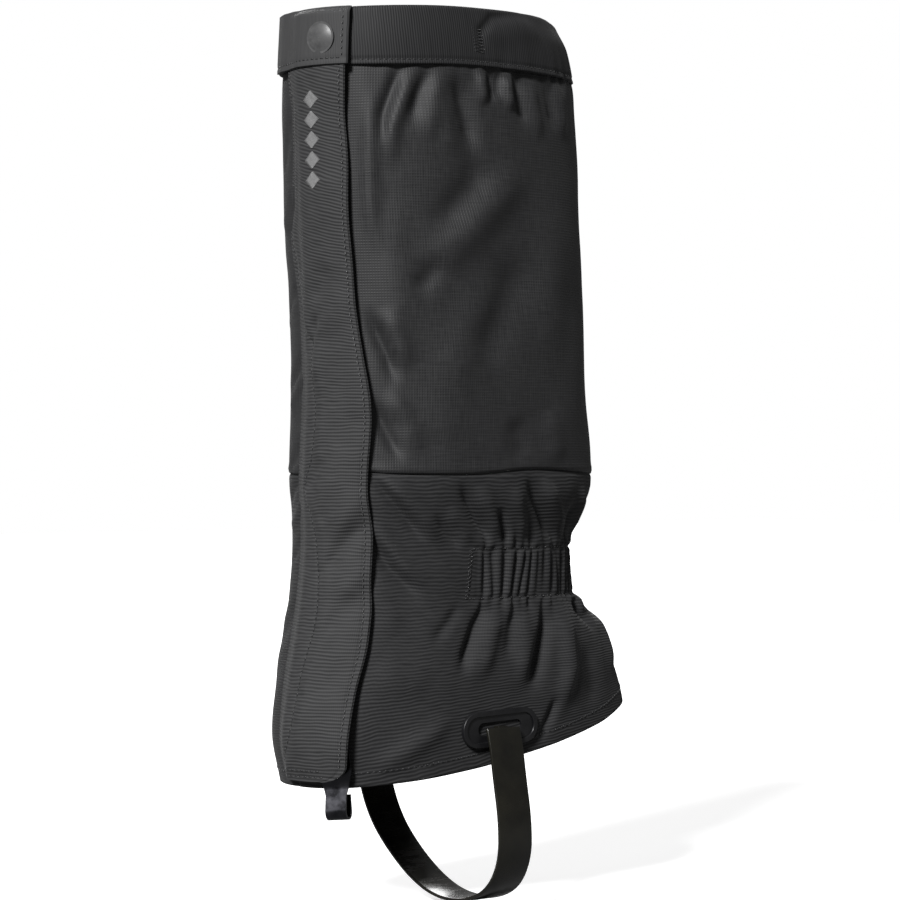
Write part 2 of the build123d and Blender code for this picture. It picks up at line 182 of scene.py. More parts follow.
# ---- folds of the cloth: outward displacement in mm at arc length s and height z ----------------
def ease(t):
    t = np.clip(t, 0, 1)
    return t * t * (3 - 2 * t)


def ridge(s, z, points, height, width, taper=0.35):
    """A soft fold along a line of (s, z) points: positive is a crest, negative a crease."""
    best = np.full(s.shape, 1e9)
    share = np.zeros(s.shape)
    points = np.array(points, float)
    runs = np.hypot(*np.diff(points, axis=0).T)
    starts = np.concatenate([[0], np.cumsum(runs)])
    for (s0, z0), (s1, z1), start, run in zip(points, points[1:], starts, runs):
        t = np.clip(((s - s0) * (s1 - s0) + (z - z0) * (z1 - z0)) / run**2, 0, 1)
        gap = np.hypot(s - s0 - t * (s1 - s0), z - z0 - t * (z1 - z0))
        near = gap < best
        best = np.where(near, gap, best)
        share = np.where(near, (start + t * run) / starts[-1], share)
    fade = ease(share / taper) * ease((1 - share) / taper) if taper > 0 else 1
    return height * np.exp(-((best / width) ** 2)) * fade


# heights at which lengths around the ankle, the leg's upper end and the cuff are counted
ANKLE_LEVEL, NECK_LEVEL, CUFF_LEVEL = 105, 360, 374
PERIMETER = {z: float(arc_of(360, z)) for z in (ANKLE_LEVEL, NECK_LEVEL, CUFF_LEVEL)}
GATHER_START = 91.0     # arc length where the ankle's elastic starts
GATHER_END = PERIMETER[ANKLE_LEVEL] - GATHER_START
CUFF_ELASTIC_START = 98.0
FOLD_DEPTH, FLAP_FOLD_DEPTH = 1.75, 1.35    # scale the heights of the drawn folds

# folds drawn on the outer side of the foot part: points as (arc length, height), then depth and width
LOWER_FOLDS = (
    (((32, 160), (40, 153), (50, 141), (66, 120)), -1.9, 2.4),
    (((38, 160), (50, 149), (64, 132), (76, 118)), 1.8, 5.4),
    (((32, 130), (39, 120), (46, 110), (66, 92)), -1.9, 3.0),
    (((34, 138), (44, 122), (56, 108), (70, 100)), 1.4, 5.0),
    (((34, 108), (46, 92), (56, 74)), 0.9, 6.0),
    (((68, 136), (75, 128), (86, 117)), -1.0, 2.4),
    (((76, 140), (84, 131), (92, 119)), 1.0, 3.6),
    (((84, 154), (88, 146), (95, 134), (106, 119)), -1.9, 3.0),
    (((96, 152), (102, 138), (110, 119)), 1.7, 4.4),
    (((109, 140), (112, 130), (115, 119)), -1.7, 2.8),
    (((118, 152), (122, 136), (126, 119)), 1.7, 4.8),
    (((127, 157), (136, 141), (145, 128), (152, 119)), -2.4, 3.2),
    (((138, 156), (148, 140), (158, 120)), 2.0, 4.8),
    (((164, 142), (166, 130), (165, 119)), -1.6, 3.0),
    (((172, 150), (176, 136), (180, 120)), 1.8, 5.0),
    (((104, 93), (99, 80), (95, 66), (94, 52)), -2.3, 3.8),
    (((112, 92), (108, 74), (105, 50)), 1.8, 5.4),
    (((88, 92), (82, 82), (72, 70)), -1.0, 3.6),
    (((122, 92), (121, 76), (122, 58)), -1.5, 4.2),
    (((131, 92), (133, 70), (131, 44)), 1.6, 5.5),
    (((143, 93), (146, 79), (143, 62), (139, 42)), -2.8, 4.6),
    (((154, 92), (160, 72), (164, 56), (158, 28)), 2.2, 5.6),
    (((158, 44), (153, 32), (144, 18)), -1.8, 3.0),
    (((168, 95), (180, 82), (192, 73)), -1.9, 2.8),
    (((160, 98), (174, 92), (188, 82)), 1.8, 3.6),
    (((196, 90), (206, 68), (214, 48)), 1.6, 5.5),
    (((178, 70), (184, 50), (188, 34)), -1.2, 6.0),
    (((44, 62), (60, 54), (78, 50)), 0.8, 8.0),
    (((40, 6), (62, 17), (80, 27), (98, 38)), 1.3, 5.0),
)

# folds of the leg part under the cuff band and down its outer side
UPPER_FOLDS = (
    (((43, 352), (42, 335), (40, 310), (40, 285), (42, 262)), 1.5, 4.6),
    (((58, 362), (52, 347), (47, 334), (46, 318)), -1.6, 3.0),
    (((66, 362), (59, 346), (52, 328), (50, 306)), 1.6, 4.0),
    (((34, 240), (40, 226), (45, 215), (50, 198)), -2.0, 3.6),
    (((44, 240), (50, 226), (56, 206)), 1.3, 5.0),
    (((34, 196), (40, 186), (46, 175), (55, 160)), -1.8, 3.4),
    (((44, 200), (54, 184), (64, 166)), 1.3, 5.0),
    (((74, 361), (66, 346), (60, 326)), -1.3, 3.8),
    (((80, 361), (74, 342), (70, 318)), 1.1, 4.6),
    (((86, 359), (89, 348), (94, 332), (97, 312)), -2.2, 5.2),
    (((80, 350), (80, 332), (84, 312)), 1.0, 5.5),
    (((101, 360), (102, 350), (104, 340)), 1.4, 3.0),
    (((108, 360), (109, 350), (108, 342)), -1.3, 2.6),
    (((118, 360), (119, 350), (121, 338)), 1.6, 3.0),
    (((113, 360), (113, 352), (113, 344)), -0.9, 2.2),
    (((125, 360), (127, 346), (132, 330)), -1.2, 3.4),
    (((134, 360), (137, 344), (142, 324)), 1.2, 4.0),
    (((147, 360), (150, 346), (154, 330)), -1.2, 3.6),
    (((158, 360), (160, 344), (162, 326)), 1.0, 4.4),
    (((134, 318), (112, 296), (84, 272), (62, 254)), 1.9, 10.0),
    (((98, 322), (96, 300), (82, 286), (66, 276)), -1.8, 8.5),
    (((76, 264), (66, 252), (58, 246)), -1.4, 5.5),
    (((132, 270), (112, 240), (92, 204)), -1.9, 12.0),
    (((112, 262), (90, 226), (72, 190)), 1.2, 12.0),
    (((52, 300), (50, 260), (54, 210)), 0.9, 9.0),
    (((150, 300), (146, 250), (140, 200)), 1.2, 12.0),
    (((44, 190), (62, 176), (80, 160)), -0.8, 6.0),
    (((118, 186), (122, 172), (126, 160)), -0.9, 7.0),
    (((140, 190), (146, 174), (150, 158)), 1.0, 7.0),
)


def mirrored_folds(folds, shift):
    """The same kinds of fold on the hidden inner side, moved a little so that the sides differ."""
    mirrored = []
    for k, (points, height, width) in enumerate(folds):
        ds, dz = shift * math.sin(0.7 * k + 1), shift * math.cos(1.3 * k)
        mirrored.append((tuple((s + ds, z + dz) for s, z in points), 0.85 * height, 1.1 * width))
    return mirrored


INNER_LOWER_FOLDS = mirrored_folds(LOWER_FOLDS, 5.0)
INNER_UPPER_FOLDS = mirrored_folds(UPPER_FOLDS, 6.0)


def drawn_folds(s, z, folds, inner_folds):
    """The folds of both sides together, the inner side's counted backwards from the front."""
    around = arc_of(360, z) - s
    total = sum(ridge(s, z, *fold) for fold in folds) + sum(ridge(around, z, *fold) for fold in inner_folds)
    return FOLD_DEPTH * total


def pleats(s, pitch, phase):
    """Rounded gathers with an uneven pitch and height."""
    wobble = 1.3 * np.sin(s / 13.0 + phase) + 0.7 * np.sin(s / 5.3 + 2.0 * phase)
    swell = 0.8 + 0.35 * np.sin(s / 9.1 + 3.0 * phase)
    return swell * np.sin(2 * np.pi * (s + wobble) / pitch + phase)


def ankle_gathers(s, z):
    """Tight pleats in the elastic's channel, which open out above and below its two stitch rows."""
    inside = ease((s - GATHER_START - 3) / 6) * ease((GATHER_END - 3 - s) / 6)
    channel = ease((z - ANKLE_LOW + 0.5) / 3.5) * ease((ANKLE_HIGH + 0.5 - z) / 3.5)
    beyond = np.maximum(np.maximum(z - ANKLE_HIGH, ANKLE_LOW - z), 0)
    drift = np.where(z > ANKLE_HIGH, 0.5, -0.4) * beyond
    lean = 1.6 * np.sin(s / 7.3) * (z - 105) / 12
    tight = 0.95 * pleats(s + lean, 5.8, 0.4) + 0.45 * pleats(s - 0.7 * lean, 9.7, 1.3)
    near = 0.8 * pleats(s + drift * 0.2, 5.8, 0.4) * np.exp(-beyond / 5)
    mid = 0.9 * pleats(s + drift * 0.3, 10.6, 1.9) * np.exp(-beyond / 13) * ease(beyond / 3)
    wide = 0.9 * pleats(s + drift * 0.3, 23.0, 0.7) * np.exp(-beyond / 26) * ease(beyond / 8)
    swell = -0.4 * channel
    return inside * (channel * tight + swell + (1 - channel) * (near + mid + wide) * (beyond > 0))


def stitch_pinch(z, height, depth=0.7, width=0.9):
    return -depth * np.exp(-(((z - height) / width) ** 2))


def cuff_gathers(s, z):
    """Small pleats where the leg part is drawn into the cuff band."""
    below = np.maximum(BAND_LOW - z, 0)
    rear = ease((s - 92) / 20) * ease((PERIMETER[NECK_LEVEL] - 92 - s) / 20)
    return (0.25 + 0.75 * rear) * (
        0.55 * pleats(s, 9.2, 0.9) * np.exp(-below / 7) + 0.5 * pleats(s, 17.0, 2.2) * np.exp(-below / 16)
    )


def slow_swell(s, z, seed):
    """Low uneven swelling of free cloth."""
    local = np.random.default_rng(seed)
    total = np.zeros(np.shape(s))
    for _ in range(9):
        pitch_s, pitch_z = local.uniform(38, 110), local.uniform(45, 130)
        a, b = local.uniform(0, 6.28, 2)
        total += np.sin(2 * np.pi * s / pitch_s + a + 1.2 * np.sin(2 * np.pi * z / pitch_z + b))
    return 0.13 * total


def front_calm(s, z):
    """No folds where the front is stiffened by the closure."""
    around = arc_of(360, z)
    return ease((s - 26) / 14) * ease((around - 8 - s) / 12)


# creases of the inner side's cloth beside the flap's root, as arc lengths back from the front centre
ROOT_FOLDS = (
    (((0, 226), (-10, 212), (-22, 200)), -1.9, 3.2),
    (((-4, 208), (-14, 196), (-24, 186)), 1.2, 4.0),
    (((-6, 252), (-16, 245), (-28, 238)), -1.2, 2.8),
    (((0, 176), (-8, 168), (-20, 158)), -1.3, 3.0),
    (((0, 160), (-10, 152), (-24, 141)), -1.5, 3.0),
    (((-2, 143), (-12, 134), (-24, 128)), 1.1, 3.6),
    (((0, 129), (-8, 121), (-20, 112)), -1.2, 2.8),
    (((-6, 300), (-16, 290), (-26, 276)), 0.9, 6.0),
    (((-6, 340), (-14, 326), (-22, 306)), -0.8, 4.0),
    (((0, 96), (-10, 84), (-22, 70)), -0.8, 4.5),
)


def root_creases(s, z):
    back = s - arc_of(360, z)
    total = sum(ridge(back, z, *fold, taper=0.25) for fold in ROOT_FOLDS)
    return total * ease((-back - 1) / 6)


def front_tuck(s, z):
    """The inner side's front edge runs in under the outer side's."""
    return -0.95 * ease((s - arc_of(360, z) + 1.0) / 2.5)


EYELET_ARC, EYELET_HEIGHT = 118.0, 28.0


def calm_at_eyelet(s, z):
    """0 under an eyelet's flat plates and 1 away from them."""
    return 1 - np.exp(-(((s - EYELET_ARC) / 30) ** 4) - ((z - EYELET_HEIGHT) / 13) ** 4)


def lower_shape(s, z):
    free = drawn_folds(s, z, LOWER_FOLDS, INNER_LOWER_FOLDS) + slow_swell(s, z, 3)
    channel = ease((z - ANKLE_LOW + 3) / 4) * ease((ANKLE_HIGH + 3 - z) / 4)
    inside = ease((s - GATHER_START) / 5) * ease((GATHER_END - s) / 5)
    free = free * (1 - 0.85 * channel * inside)
    flat = calm_at_eyelet(s, z) * calm_at_eyelet(arc_of(360, z) - s, z)
    pinch = inside * (stitch_pinch(z, ANKLE_LOW) + stitch_pinch(z, ANKLE_HIGH))
    return (free * front_calm(s, z) + ankle_gathers(s, z)) * flat + pinch


def upper_shape(s, z):
    free = drawn_folds(s, z, UPPER_FOLDS, INNER_UPPER_FOLDS) + slow_swell(s, z, 5)
    low = ease((z - SEAM) / 6)
    flare = 0.8 * np.exp(-np.maximum(BAND_LOW - z, 0) / 5) * ease((s - 30) / 10)
    return (free * (0.35 + 0.65 * low) + cuff_gathers(s, z)) * front_calm(s, z) - flare


def shell_shape(s, z):
    """Displacement of the whole sleeve, leg part and foot part running into each other at the seam."""
    t = ease((z - SEAM + 12) / 24)
    cloth = lower_shape(s, z) * (1 - t) + upper_shape(s, z) * t
    return cloth + root_creases(s, z) + front_tuck(s, z) + stitch_pinch(z, seam_height(s), 0.5, 1.1)


def seam_height(s):
    return SEAM + 1.4 * np.cos((s - 12) / 62.0 * np.pi) + 0.25 * np.sin(s / 9.0)


# ---- meshes -------------------------------------------------------------------------------------
def new_mesh(name, verts, faces, uvs=None, smooth=True):
    mesh = bpy.data.meshes.new(name)
    mesh.from_pydata(verts, [], faces)
    if smooth:
        mesh.polygons.foreach_set("use_smooth", np.ones(len(mesh.polygons), bool))
    if uvs is not None:
        layer = mesh.uv_layers.new(name="cloth")
        loops = np.empty(len(mesh.loops), int)
        mesh.loops.foreach_get("vertex_index", loops)
        layer.data.foreach_set("uv", np.asarray(uvs, float)[loops].ravel())
    mesh.validate()
    piece = bpy.data.objects.new(name, mesh)
    bpy.context.collection.objects.link(piece)
    return piece


def grid_faces(rows, columns, close_rows=False, close_columns=False):
    """Quads between points that are numbered row by row."""
    faces = []
    for i in range(rows if close_rows else rows - 1):
        a, b = i * columns, ((i + 1) % rows) * columns
        for j in range(columns if close_columns else columns - 1):
            k = (j + 1) % columns
            faces.append((a + j, a + k, b + k, b + j))
    return faces


def grid_points(x, y, z):
    """Arrays in mm as one list of points in metres, row by row."""
    return (np.stack([x, y, z], -1).reshape(-1, 3) * MM).tolist()


def grid_mesh(name, x, y, z, u, v, extra=(), **closed):
    """Quads over arrays of points (rows, columns) and extra faces; u and v are cloth coordinates in mm."""
    uvs = np.stack([u, v], -1).reshape(-1, 2) * MM
    return new_mesh(name, grid_points(x, y, z), grid_faces(*x.shape, **closed) + list(extra), uvs)


def settle(piece):
    """Replaces the piece's mesh by its shape with all its modifiers applied."""
    graph = bpy.context.evaluated_depsgraph_get()
    mesh = bpy.data.meshes.new_from_object(piece.evaluated_get(graph))
    piece.modifiers.clear()
    piece.data = mesh
    return piece


def thicken(piece, thickness):
    solid = piece.modifiers.new("cloth", "SOLIDIFY")
    solid.thickness = thickness * MM
    solid.offset = 0.0
    solid.use_even_offset = False
    return settle(piece)


def sleeve_points(angle, z, lift):
    x, y, nx, ny = surface(angle, z)
    return x + lift * nx, y + lift * ny, z


# upright edges of the sleeve's sheets: rough angle, and X where the edge keeps its X
LAP_EDGE = (2.0, LAP_X)
SEAM_EDGE = (359.8, LAP_X + 3.0)


def edge_angle(edge, z, turn):
    """Angle of an upright edge at heights z: it keeps either its X or its angle."""
    angle, x = edge
    return np.full_like(z, angle) if x is None else turn + front_angle(np.full_like(z, x), z)


def tube_sheet(name, low, high, edges, columns, rows, shape, shear=None, thickness=0.8):
    """A sheet of sleeve cloth between two lines of height, each a function of the angle."""
    t = np.linspace(0, 1, rows)[:, None]
    share = np.linspace(0, 1, columns)[None, :]
    start, end = edges
    rough = start[0] + (end[0] - start[0]) * share
    z = low(rough) + (high(rough) - low(rough)) * t
    first, last = edge_angle(start, z, 0), edge_angle(end, z, 360)
    angle = first + (last - first) * share
    s = arc_of(angle, z)
    x, y, z = sleeve_points(angle, z, shape(s, z))
    v = z + (shear(s, z) if shear else 0)
    return thicken(grid_mesh(name, x, y, z, s, v), thickness)


def level(height):
    """A line at one height."""
    return lambda angle: np.full_like(angle, height)


# ---- materials ----------------------------------------------------------------------------------
class Shader:
    """A few words for building node materials."""

    def __init__(self, name, color, roughness, metallic=0.0, **sockets):
        self.material = bpy.data.materials.new(name)
        self.material.use_nodes = True
        self.tree = self.material.node_tree
        self.out = self.tree.nodes["Principled BSDF"]
        self.out.inputs["Base Color"].default_value = (*color, 1)
        self.out.inputs["Roughness"].default_value = roughness
        self.out.inputs["Metallic"].default_value = metallic
        for key, value in sockets.items():
            self.out.inputs[key.replace("_", " ")].default_value = value

    def node(self, kind, **inputs):
        node = self.tree.nodes.new("ShaderNode" + kind)
        for key, value in inputs.items():
            self.put(node.inputs[key.replace("_", " ")], value)
        return node

    def put(self, socket, value):
        if isinstance(value, bpy.types.NodeSocket):
            self.tree.links.new(value, socket)
        else:
            socket.default_value = value

    def math(self, operation, a, b=0.0, clamp=False):
        node = self.tree.nodes.new("ShaderNodeMath")
        node.operation, node.use_clamp = operation, clamp
        self.put(node.inputs[0], a)
        self.put(node.inputs[1], b)
        return node.outputs[0]

    def cloth(self):
        """Cloth coordinates in metres: along the weft and along the warp."""
        uv = self.tree.nodes.new("ShaderNodeUVMap")
        uv.uv_map = "cloth"
        split = self.node("SeparateXYZ", Vector=uv.outputs["UV"])
        return uv.outputs["UV"], split.outputs["X"], split.outputs["Y"]

    def weigh(self, *terms):
        """Sum of (value, weight) terms."""
        total = None
        for value, weight in terms:
            part = self.math("MULTIPLY", value, weight)
            total = part if total is None else self.math("ADD", total, part)
        return total

    def noise(self, vector, scale, detail=3.0):
        node = self.node("TexNoise", Vector=vector, Scale=scale, Detail=detail, Roughness=0.55)
        return node.outputs["Fac"]

    def streaks(self, vector, scales, detail=3.0):
        """Noise with its own scale along each axis."""
        stretch = self.node("Mapping", Vector=vector, Scale=scales)
        return self.noise(stretch.outputs["Vector"], 1.0, detail)

    def place(self):
        return self.node("TexCoord").outputs["Object"]

    def wave(self, coordinate, pitch_mm, shift=0.0):
        """0 to 1 and back over one pitch."""
        turns = self.math("ADD", self.math("MULTIPLY", coordinate, 2 * math.pi / (pitch_mm * MM)), shift)
        return self.math("ADD", self.math("MULTIPLY", self.math("SINE", turns), 0.5), 0.5)

    def ramp(self, factor, stops):
        node = self.tree.nodes.new("ShaderNodeValToRGB")
        self.put(node.inputs["Fac"], factor)
        ramp = node.color_ramp
        while len(ramp.elements) < len(stops):
            ramp.elements.new(0.5)
        for element, (position, value) in zip(ramp.elements, stops):
            element.position = position
            element.color = (*value, 1) if hasattr(value, "__len__") else (value, value, value, 1)
        return node.outputs["Color"]

    def color(self, value):
        self.put(self.out.inputs["Base Color"], value)

    def roughness(self, value):
        self.put(self.out.inputs["Roughness"], value)

    def bump(self, height, distance_mm, strength=1.0):
        node = self.node("Bump", Strength=strength, Distance=distance_mm * MM, Height=height)
        previous = self.out.inputs["Normal"].links
        if previous:
            self.tree.links.new(previous[0].from_socket, node.inputs["Normal"])
        self.put(self.out.inputs["Normal"], node.outputs["Normal"])


def gray(value):
    """Linear grey with a trace of blue."""
    return value, value, value + 0.0008


def tones(dark, light, low, middle, high):
    """Ramp stops from dark to light by way of their mean."""
    return (low, gray(dark)), (middle, gray((dark + light) / 2)), (high, gray(light))


def ottoman(name, dark, light, pitch):
    """Cross-ribbed cloth: rounded ribs along the weft, uneven in brightness, bound by fine warp threads."""
    shader = Shader(name, gray(light), 0.82, Sheen_Weight=0.05, Sheen_Roughness=0.5, Specular_IOR_Level=0.2)
    vector, u, v = shader.cloth()
    drift = shader.math("MULTIPLY", shader.noise(vector, 55.0, 2.0), 0.0034)
    rib = shader.wave(shader.math("ADD", v, drift), pitch)
    thread = shader.wave(u, 0.62)
    slub = shader.streaks(vector, (120.0, 900.0, 1.0))
    tone = shader.weigh((rib, 0.42), (slub, 0.62), (thread, -0.08))
    shader.color(shader.ramp(tone, tones(dark, light, 0.16, 0.5, 0.86)))
    shader.roughness(shader.ramp(slub, ((0.3, 0.62), (0.75, 0.82))))
    shader.bump(shader.weigh((rib, 1.0), (thread, 0.18), (slub, 0.3)), 0.22)
    return shader.material


def ripstop(name, dark, light):
    """Light plain weave with a raised grid of doubled threads."""
    shader = Shader(name, gray(light), 0.7, Sheen_Weight=0.04, Sheen_Roughness=0.45, Specular_IOR_Level=0.26)
    vector, u, v = shader.cloth()
    fine = shader.math("MULTIPLY", shader.wave(u, 0.55), shader.wave(v, 0.55))
    grid = shader.math("MAXIMUM", shader.wave(u, 1.35), shader.wave(v, 1.35, 1.0))
    grid = shader.math("POWER", grid, 4.0)
    weft = shader.streaks(vector, (90.0, 1300.0, 1.0), 2.0)
    warp = shader.streaks(vector, (1300.0, 90.0, 1.0), 2.0)
    yarn = shader.weigh((weft, 0.5), (warp, 0.5))
    tone = shader.weigh((yarn, 0.9), (grid, 0.12), (fine, 0.1))
    shader.color(shader.ramp(tone, tones(dark, light, 0.3, 0.55, 0.85)))
    shader.roughness(shader.ramp(yarn, ((0.35, 0.5), (0.7, 0.7))))
    shader.bump(shader.weigh((grid, 1.0), (yarn, 0.8)), 0.08)
    return shader.material


def ribbed_band(name, dark, light, pitch=1.25, contrast=0.6):
    """Cuff cloth: fine upright ribs with uneven brightness."""
    shader = Shader(name, gray(light), 0.76, Sheen_Weight=0.04, Sheen_Roughness=0.45, Specular_IOR_Level=0.22)
    vector, u, _ = shader.cloth()
    drift = shader.math("MULTIPLY", shader.noise(vector, 80.0, 2.0), 0.0012)
    rib = shader.wave(shader.math("ADD", u, drift), pitch)
    slub = shader.streaks(vector, (1100.0, 45.0, 1.0))
    tone = shader.weigh((rib, contrast), (slub, 1.05 - contrast))
    shader.color(shader.ramp(tone, tones(dark, light, 0.2, 0.55, 0.9)))
    shader.roughness(shader.ramp(slub, ((0.3, 0.58), (0.75, 0.76))))
    shader.bump(shader.math("ADD", rib, slub), 0.1)
    return shader.material


def plain_cloth(name, dark, light):
    """Close plain weave for the linings."""
    shader = Shader(name, gray(light), 0.8, Sheen_Weight=0.1, Specular_IOR_Level=0.3)
    vector, u, v = shader.cloth()
    check = shader.math("MULTIPLY", shader.wave(u, 0.6), shader.wave(v, 0.6))
    tone = shader.weigh((check, 0.5), (shader.noise(vector, 300.0, 4.0), 0.5))
    shader.color(shader.ramp(tone, ((0.2, gray(dark)), (0.8, gray(light)))))
    shader.bump(tone, 0.12)
    return shader.material


def thread_material(name, shade, roughness=0.5):
    """Twisted sewing thread."""
    shader = Shader(name, gray(shade), roughness, Sheen_Weight=0.3, Sheen_Roughness=0.4)
    twist = shader.noise(shader.place(), 2600.0, 2.0)
    shader.color(shader.ramp(twist, ((0.3, gray(shade * 0.55)), (0.7, gray(shade)))))
    shader.bump(twist, 0.08)
    return shader.material


def moulded_plastic():
    """Satin black nylon with a fine mould texture and cloudy gloss."""
    shader = Shader("eyelet_plastic", gray(0.007), 0.34, Specular_IOR_Level=0.42)
    grain = shader.noise(shader.place(), 2200.0)
    cloud = shader.noise(shader.place(), 120.0)
    shader.color(shader.ramp(cloud, ((0.35, gray(0.005)), (0.7, gray(0.01)))))
    shader.roughness(shader.ramp(shader.weigh((grain, 0.5), (cloud, 0.5)), ((0.3, 0.26), (0.7, 0.46))))
    shader.bump(grain, 0.03)
    return shader.material


def strap_plastic():
    """Glossy moulded polyurethane, black with a trace of olive."""
    shader = Shader(
        "strap_plastic", (0.008, 0.0078, 0.006), 0.28, Specular_IOR_Level=0.4,
        Coat_Weight=0.12, Coat_Roughness=0.14,
    )
    cloud = shader.noise(shader.place(), 70.0, 4.0)
    scuff = shader.streaks(shader.place(), (900.0, 60.0, 60.0), 4.0)
    shader.color(shader.ramp(cloud, ((0.3, (0.006, 0.0058, 0.0048)), (0.75, (0.012, 0.0112, 0.0078)))))
    shader.roughness(shader.ramp(shader.weigh((scuff, 0.5), (cloud, 0.5)), ((0.35, 0.14), (0.65, 0.34))))
    shader.bump(scuff, 0.02)
    return shader.material


def dark_nickel():
    """Blackened nickel plating, a little blue, with a cloudy gloss."""
    shade = 0.045
    shader = Shader("hook_steel", (shade, shade, shade * 1.12), 0.3, metallic=1.0)
    cloud = shader.noise(shader.place(), 160.0, 5.0)
    grain = shader.noise(shader.place(), 3000.0, 2.0)
    dark, light = (shade * 0.7, shade * 0.7, shade * 0.8), (shade * 1.2, shade * 1.2, shade * 1.34)
    shader.color(shader.ramp(cloud, ((0.3, dark), (0.75, light))))
    shader.roughness(shader.ramp(cloud, ((0.3, 0.2), (0.7, 0.4))))
    shader.bump(grain, 0.015)
    return shader.material


def snap_enamel():
    """Grey satin enamel on the snap's cap, cloudy and finely speckled."""
    shader = Shader(
        "snap_enamel", gray(0.06), 0.46, Specular_IOR_Level=0.5, Coat_Weight=0.15, Coat_Roughness=0.35
    )
    cloud = shader.noise(shader.place(), 320.0, 5.0)
    speck = shader.noise(shader.place(), 1900.0)
    tone = shader.weigh((cloud, 0.65), (speck, 0.35))
    shader.color(shader.ramp(tone, ((0.32, gray(0.04)), (0.52, gray(0.065)), (0.75, gray(0.1)))))
    shader.roughness(shader.ramp(tone, ((0.35, 0.5), (0.7, 0.33))))
    shader.bump(speck, 0.03)
    return shader.material


def tape_material(name, shade, scale):
    """Hook or loop tape: a dense field of small points."""
    shader = Shader(name, gray(shade), 0.7, Sheen_Weight=0.25)
    vector = shader.cloth()[0]
    cells = shader.node("TexVoronoi", Vector=vector, Scale=scale).outputs["Distance"]
    shader.color(shader.ramp(cells, ((0.0, gray(shade * 1.6)), (0.6, gray(shade * 0.35)))))
    shader.bump(shader.math("SUBTRACT", 1.0, cells), 0.5)
    return shader.material


def floor_material():
    """Pale paper that looks white and sends little light back up under the object."""
    shader = Shader(
        "pale_floor", (0.86, 0.86, 0.86), 0.75, Emission_Color=(1, 1, 1, 1), Emission_Strength=0.42
    )
    cloud = shader.noise(shader.place(), 3.0, 3.0)
    shader.color(shader.ramp(cloud, ((0.3, (0.85, 0.85, 0.85)), (0.7, (0.88, 0.88, 0.88)))))
    seen = shader.node("LightPath").outputs["Is Camera Ray"]
    dull = shader.node("BsdfDiffuse", Color=(0.16, 0.16, 0.16, 1))
    mix = shader.node("MixShader", Fac=seen)
    shader.put(mix.inputs[1], dull.outputs[0])
    shader.put(mix.inputs[2], shader.out.outputs[0])
    shader.put(shader.tree.nodes["Material Output"].inputs["Surface"], mix.outputs[0])
    return shader.material


OTTOMAN = ottoman("ottoman_cloth", 0.0075, 0.034, 1.9)
# the flap's cloth is the ottoman cloth made lighter: painted light, standing in for the key light falling
# more fully on the flap
FLAP_CLOTH_PAINTED_LIT = ottoman("flap_cloth", 0.012, 0.053, 1.75)
RIPSTOP = ripstop("ripstop_cloth", 0.011, 0.033)
BAND = ribbed_band("band_cloth", 0.008, 0.029)
TAB = ribbed_band("tab_cloth", 0.030, 0.050, 0.7, 0.3)
LINING = plain_cloth("lining_cloth", 0.012, 0.03)
THREAD = thread_material("dark_thread", 0.005)
MOTIF = thread_material("pale_thread", 0.3, 0.45)
PLASTIC = moulded_plastic()
STRAP = strap_plastic()
STEEL = dark_nickel()
ENAMEL = snap_enamel()
HOOK_TAPE = tape_material("hook_tape_points", 0.02, 1100.0)
LOOP_TAPE = tape_material("loop_tape_pile", 0.03, 700.0)


def dress(piece, material, body="sleeve"):
    piece.data.materials.clear()
    piece.data.materials.append(material)
    if body:
        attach(piece, body)
    return piece


# ---- sleeve cloth -------------------------------------------------------------------------------
def rib_shear(s, z):
    """The foot part is cut on a slant: its ribs climb towards the heel near the hem."""
    return -0.19 * np.clip(s - 40, 0, 180) * ease((95 - z) / 95)


def build_lower_panel():
    piece = tube_sheet(
        "lower_panel_cloth", hem_at, level(SEAM + 4), (LAP_EDGE, SEAM_EDGE), 420, 128,
        lambda s, z: shell_shape(s, z) - 0.45 * ease((z - SEAM + 3) / 3), shear=rib_shear,
    )
    dress(piece, OTTOMAN)
    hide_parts("lower_panel")


def build_upper_panel():
    piece = tube_sheet(
        "upper_panel_cloth", lambda a: seam_height(arc_of(a, SEAM)), level(BAND_LOW + 3),
        (LAP_EDGE, SEAM_EDGE), 400, 128, lambda s, z: shell_shape(s, z) + 0.45 * ease((SEAM + 5 - z) / 4),
    )
    dress(piece, RIPSTOP)
    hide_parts("upper_panel")


def band_top(s):
    """Height of the cuff's fold line: it sags a little at the front and curls in at the back."""
    side = np.minimum(s, PERIMETER[CUFF_LEVEL] - s)
    return 387.4 + 2.6 * ease((side - 25) / 70) - 4.0 * ease((side - 150) / 55) + 0.25 * np.sin(s / 17.0)


def band_bottom(s):
    return 358.6 + 1.9 * ease((s - 30) / 60) - 1.2 * ease((s - 130) / 60) + 0.2 * np.sin(s / 13.0)


# puckers of the cuff where its elastic ends: arc length and height over its lower edge, height, width
BAND_FOLDS = (
    (((100, 8), (101, 18), (109, 25), (124, 28), (142, 29)), -1.5, 2.6),
    (((108, 10), (112, 17), (124, 21), (144, 22)), 1.0, 6.0),
)
INNER_BAND_FOLDS = ((((102, 8), (104, 19), (114, 26), (130, 28)), -1.2, 3.0),)


def band_bulge(s, t):
    """Outward shape of the band's outer face, t from its lower edge to its fold."""
    z = t * 30
    around = PERIMETER[CUFF_LEVEL] - s
    puckers = sum(ridge(s, z, *fold, taper=0.2) for fold in BAND_FOLDS)
    puckers = puckers + sum(ridge(around, z, *fold, taper=0.2) for fold in INNER_BAND_FOLDS)
    ripple = 0.35 * pleats(s, 10.5, 0.9) * np.exp(-z / 7) + 0.3 * pleats(s, 24.0, 0.3)
    rear = ease((s - 100) / 12) * ease((around - 100) / 12)
    return puckers + rear * ripple + 0.22 * np.sin(s / 19.0 + 2 * t) + 0.9 * np.sin(np.pi * np.clip(t, 0, 1))


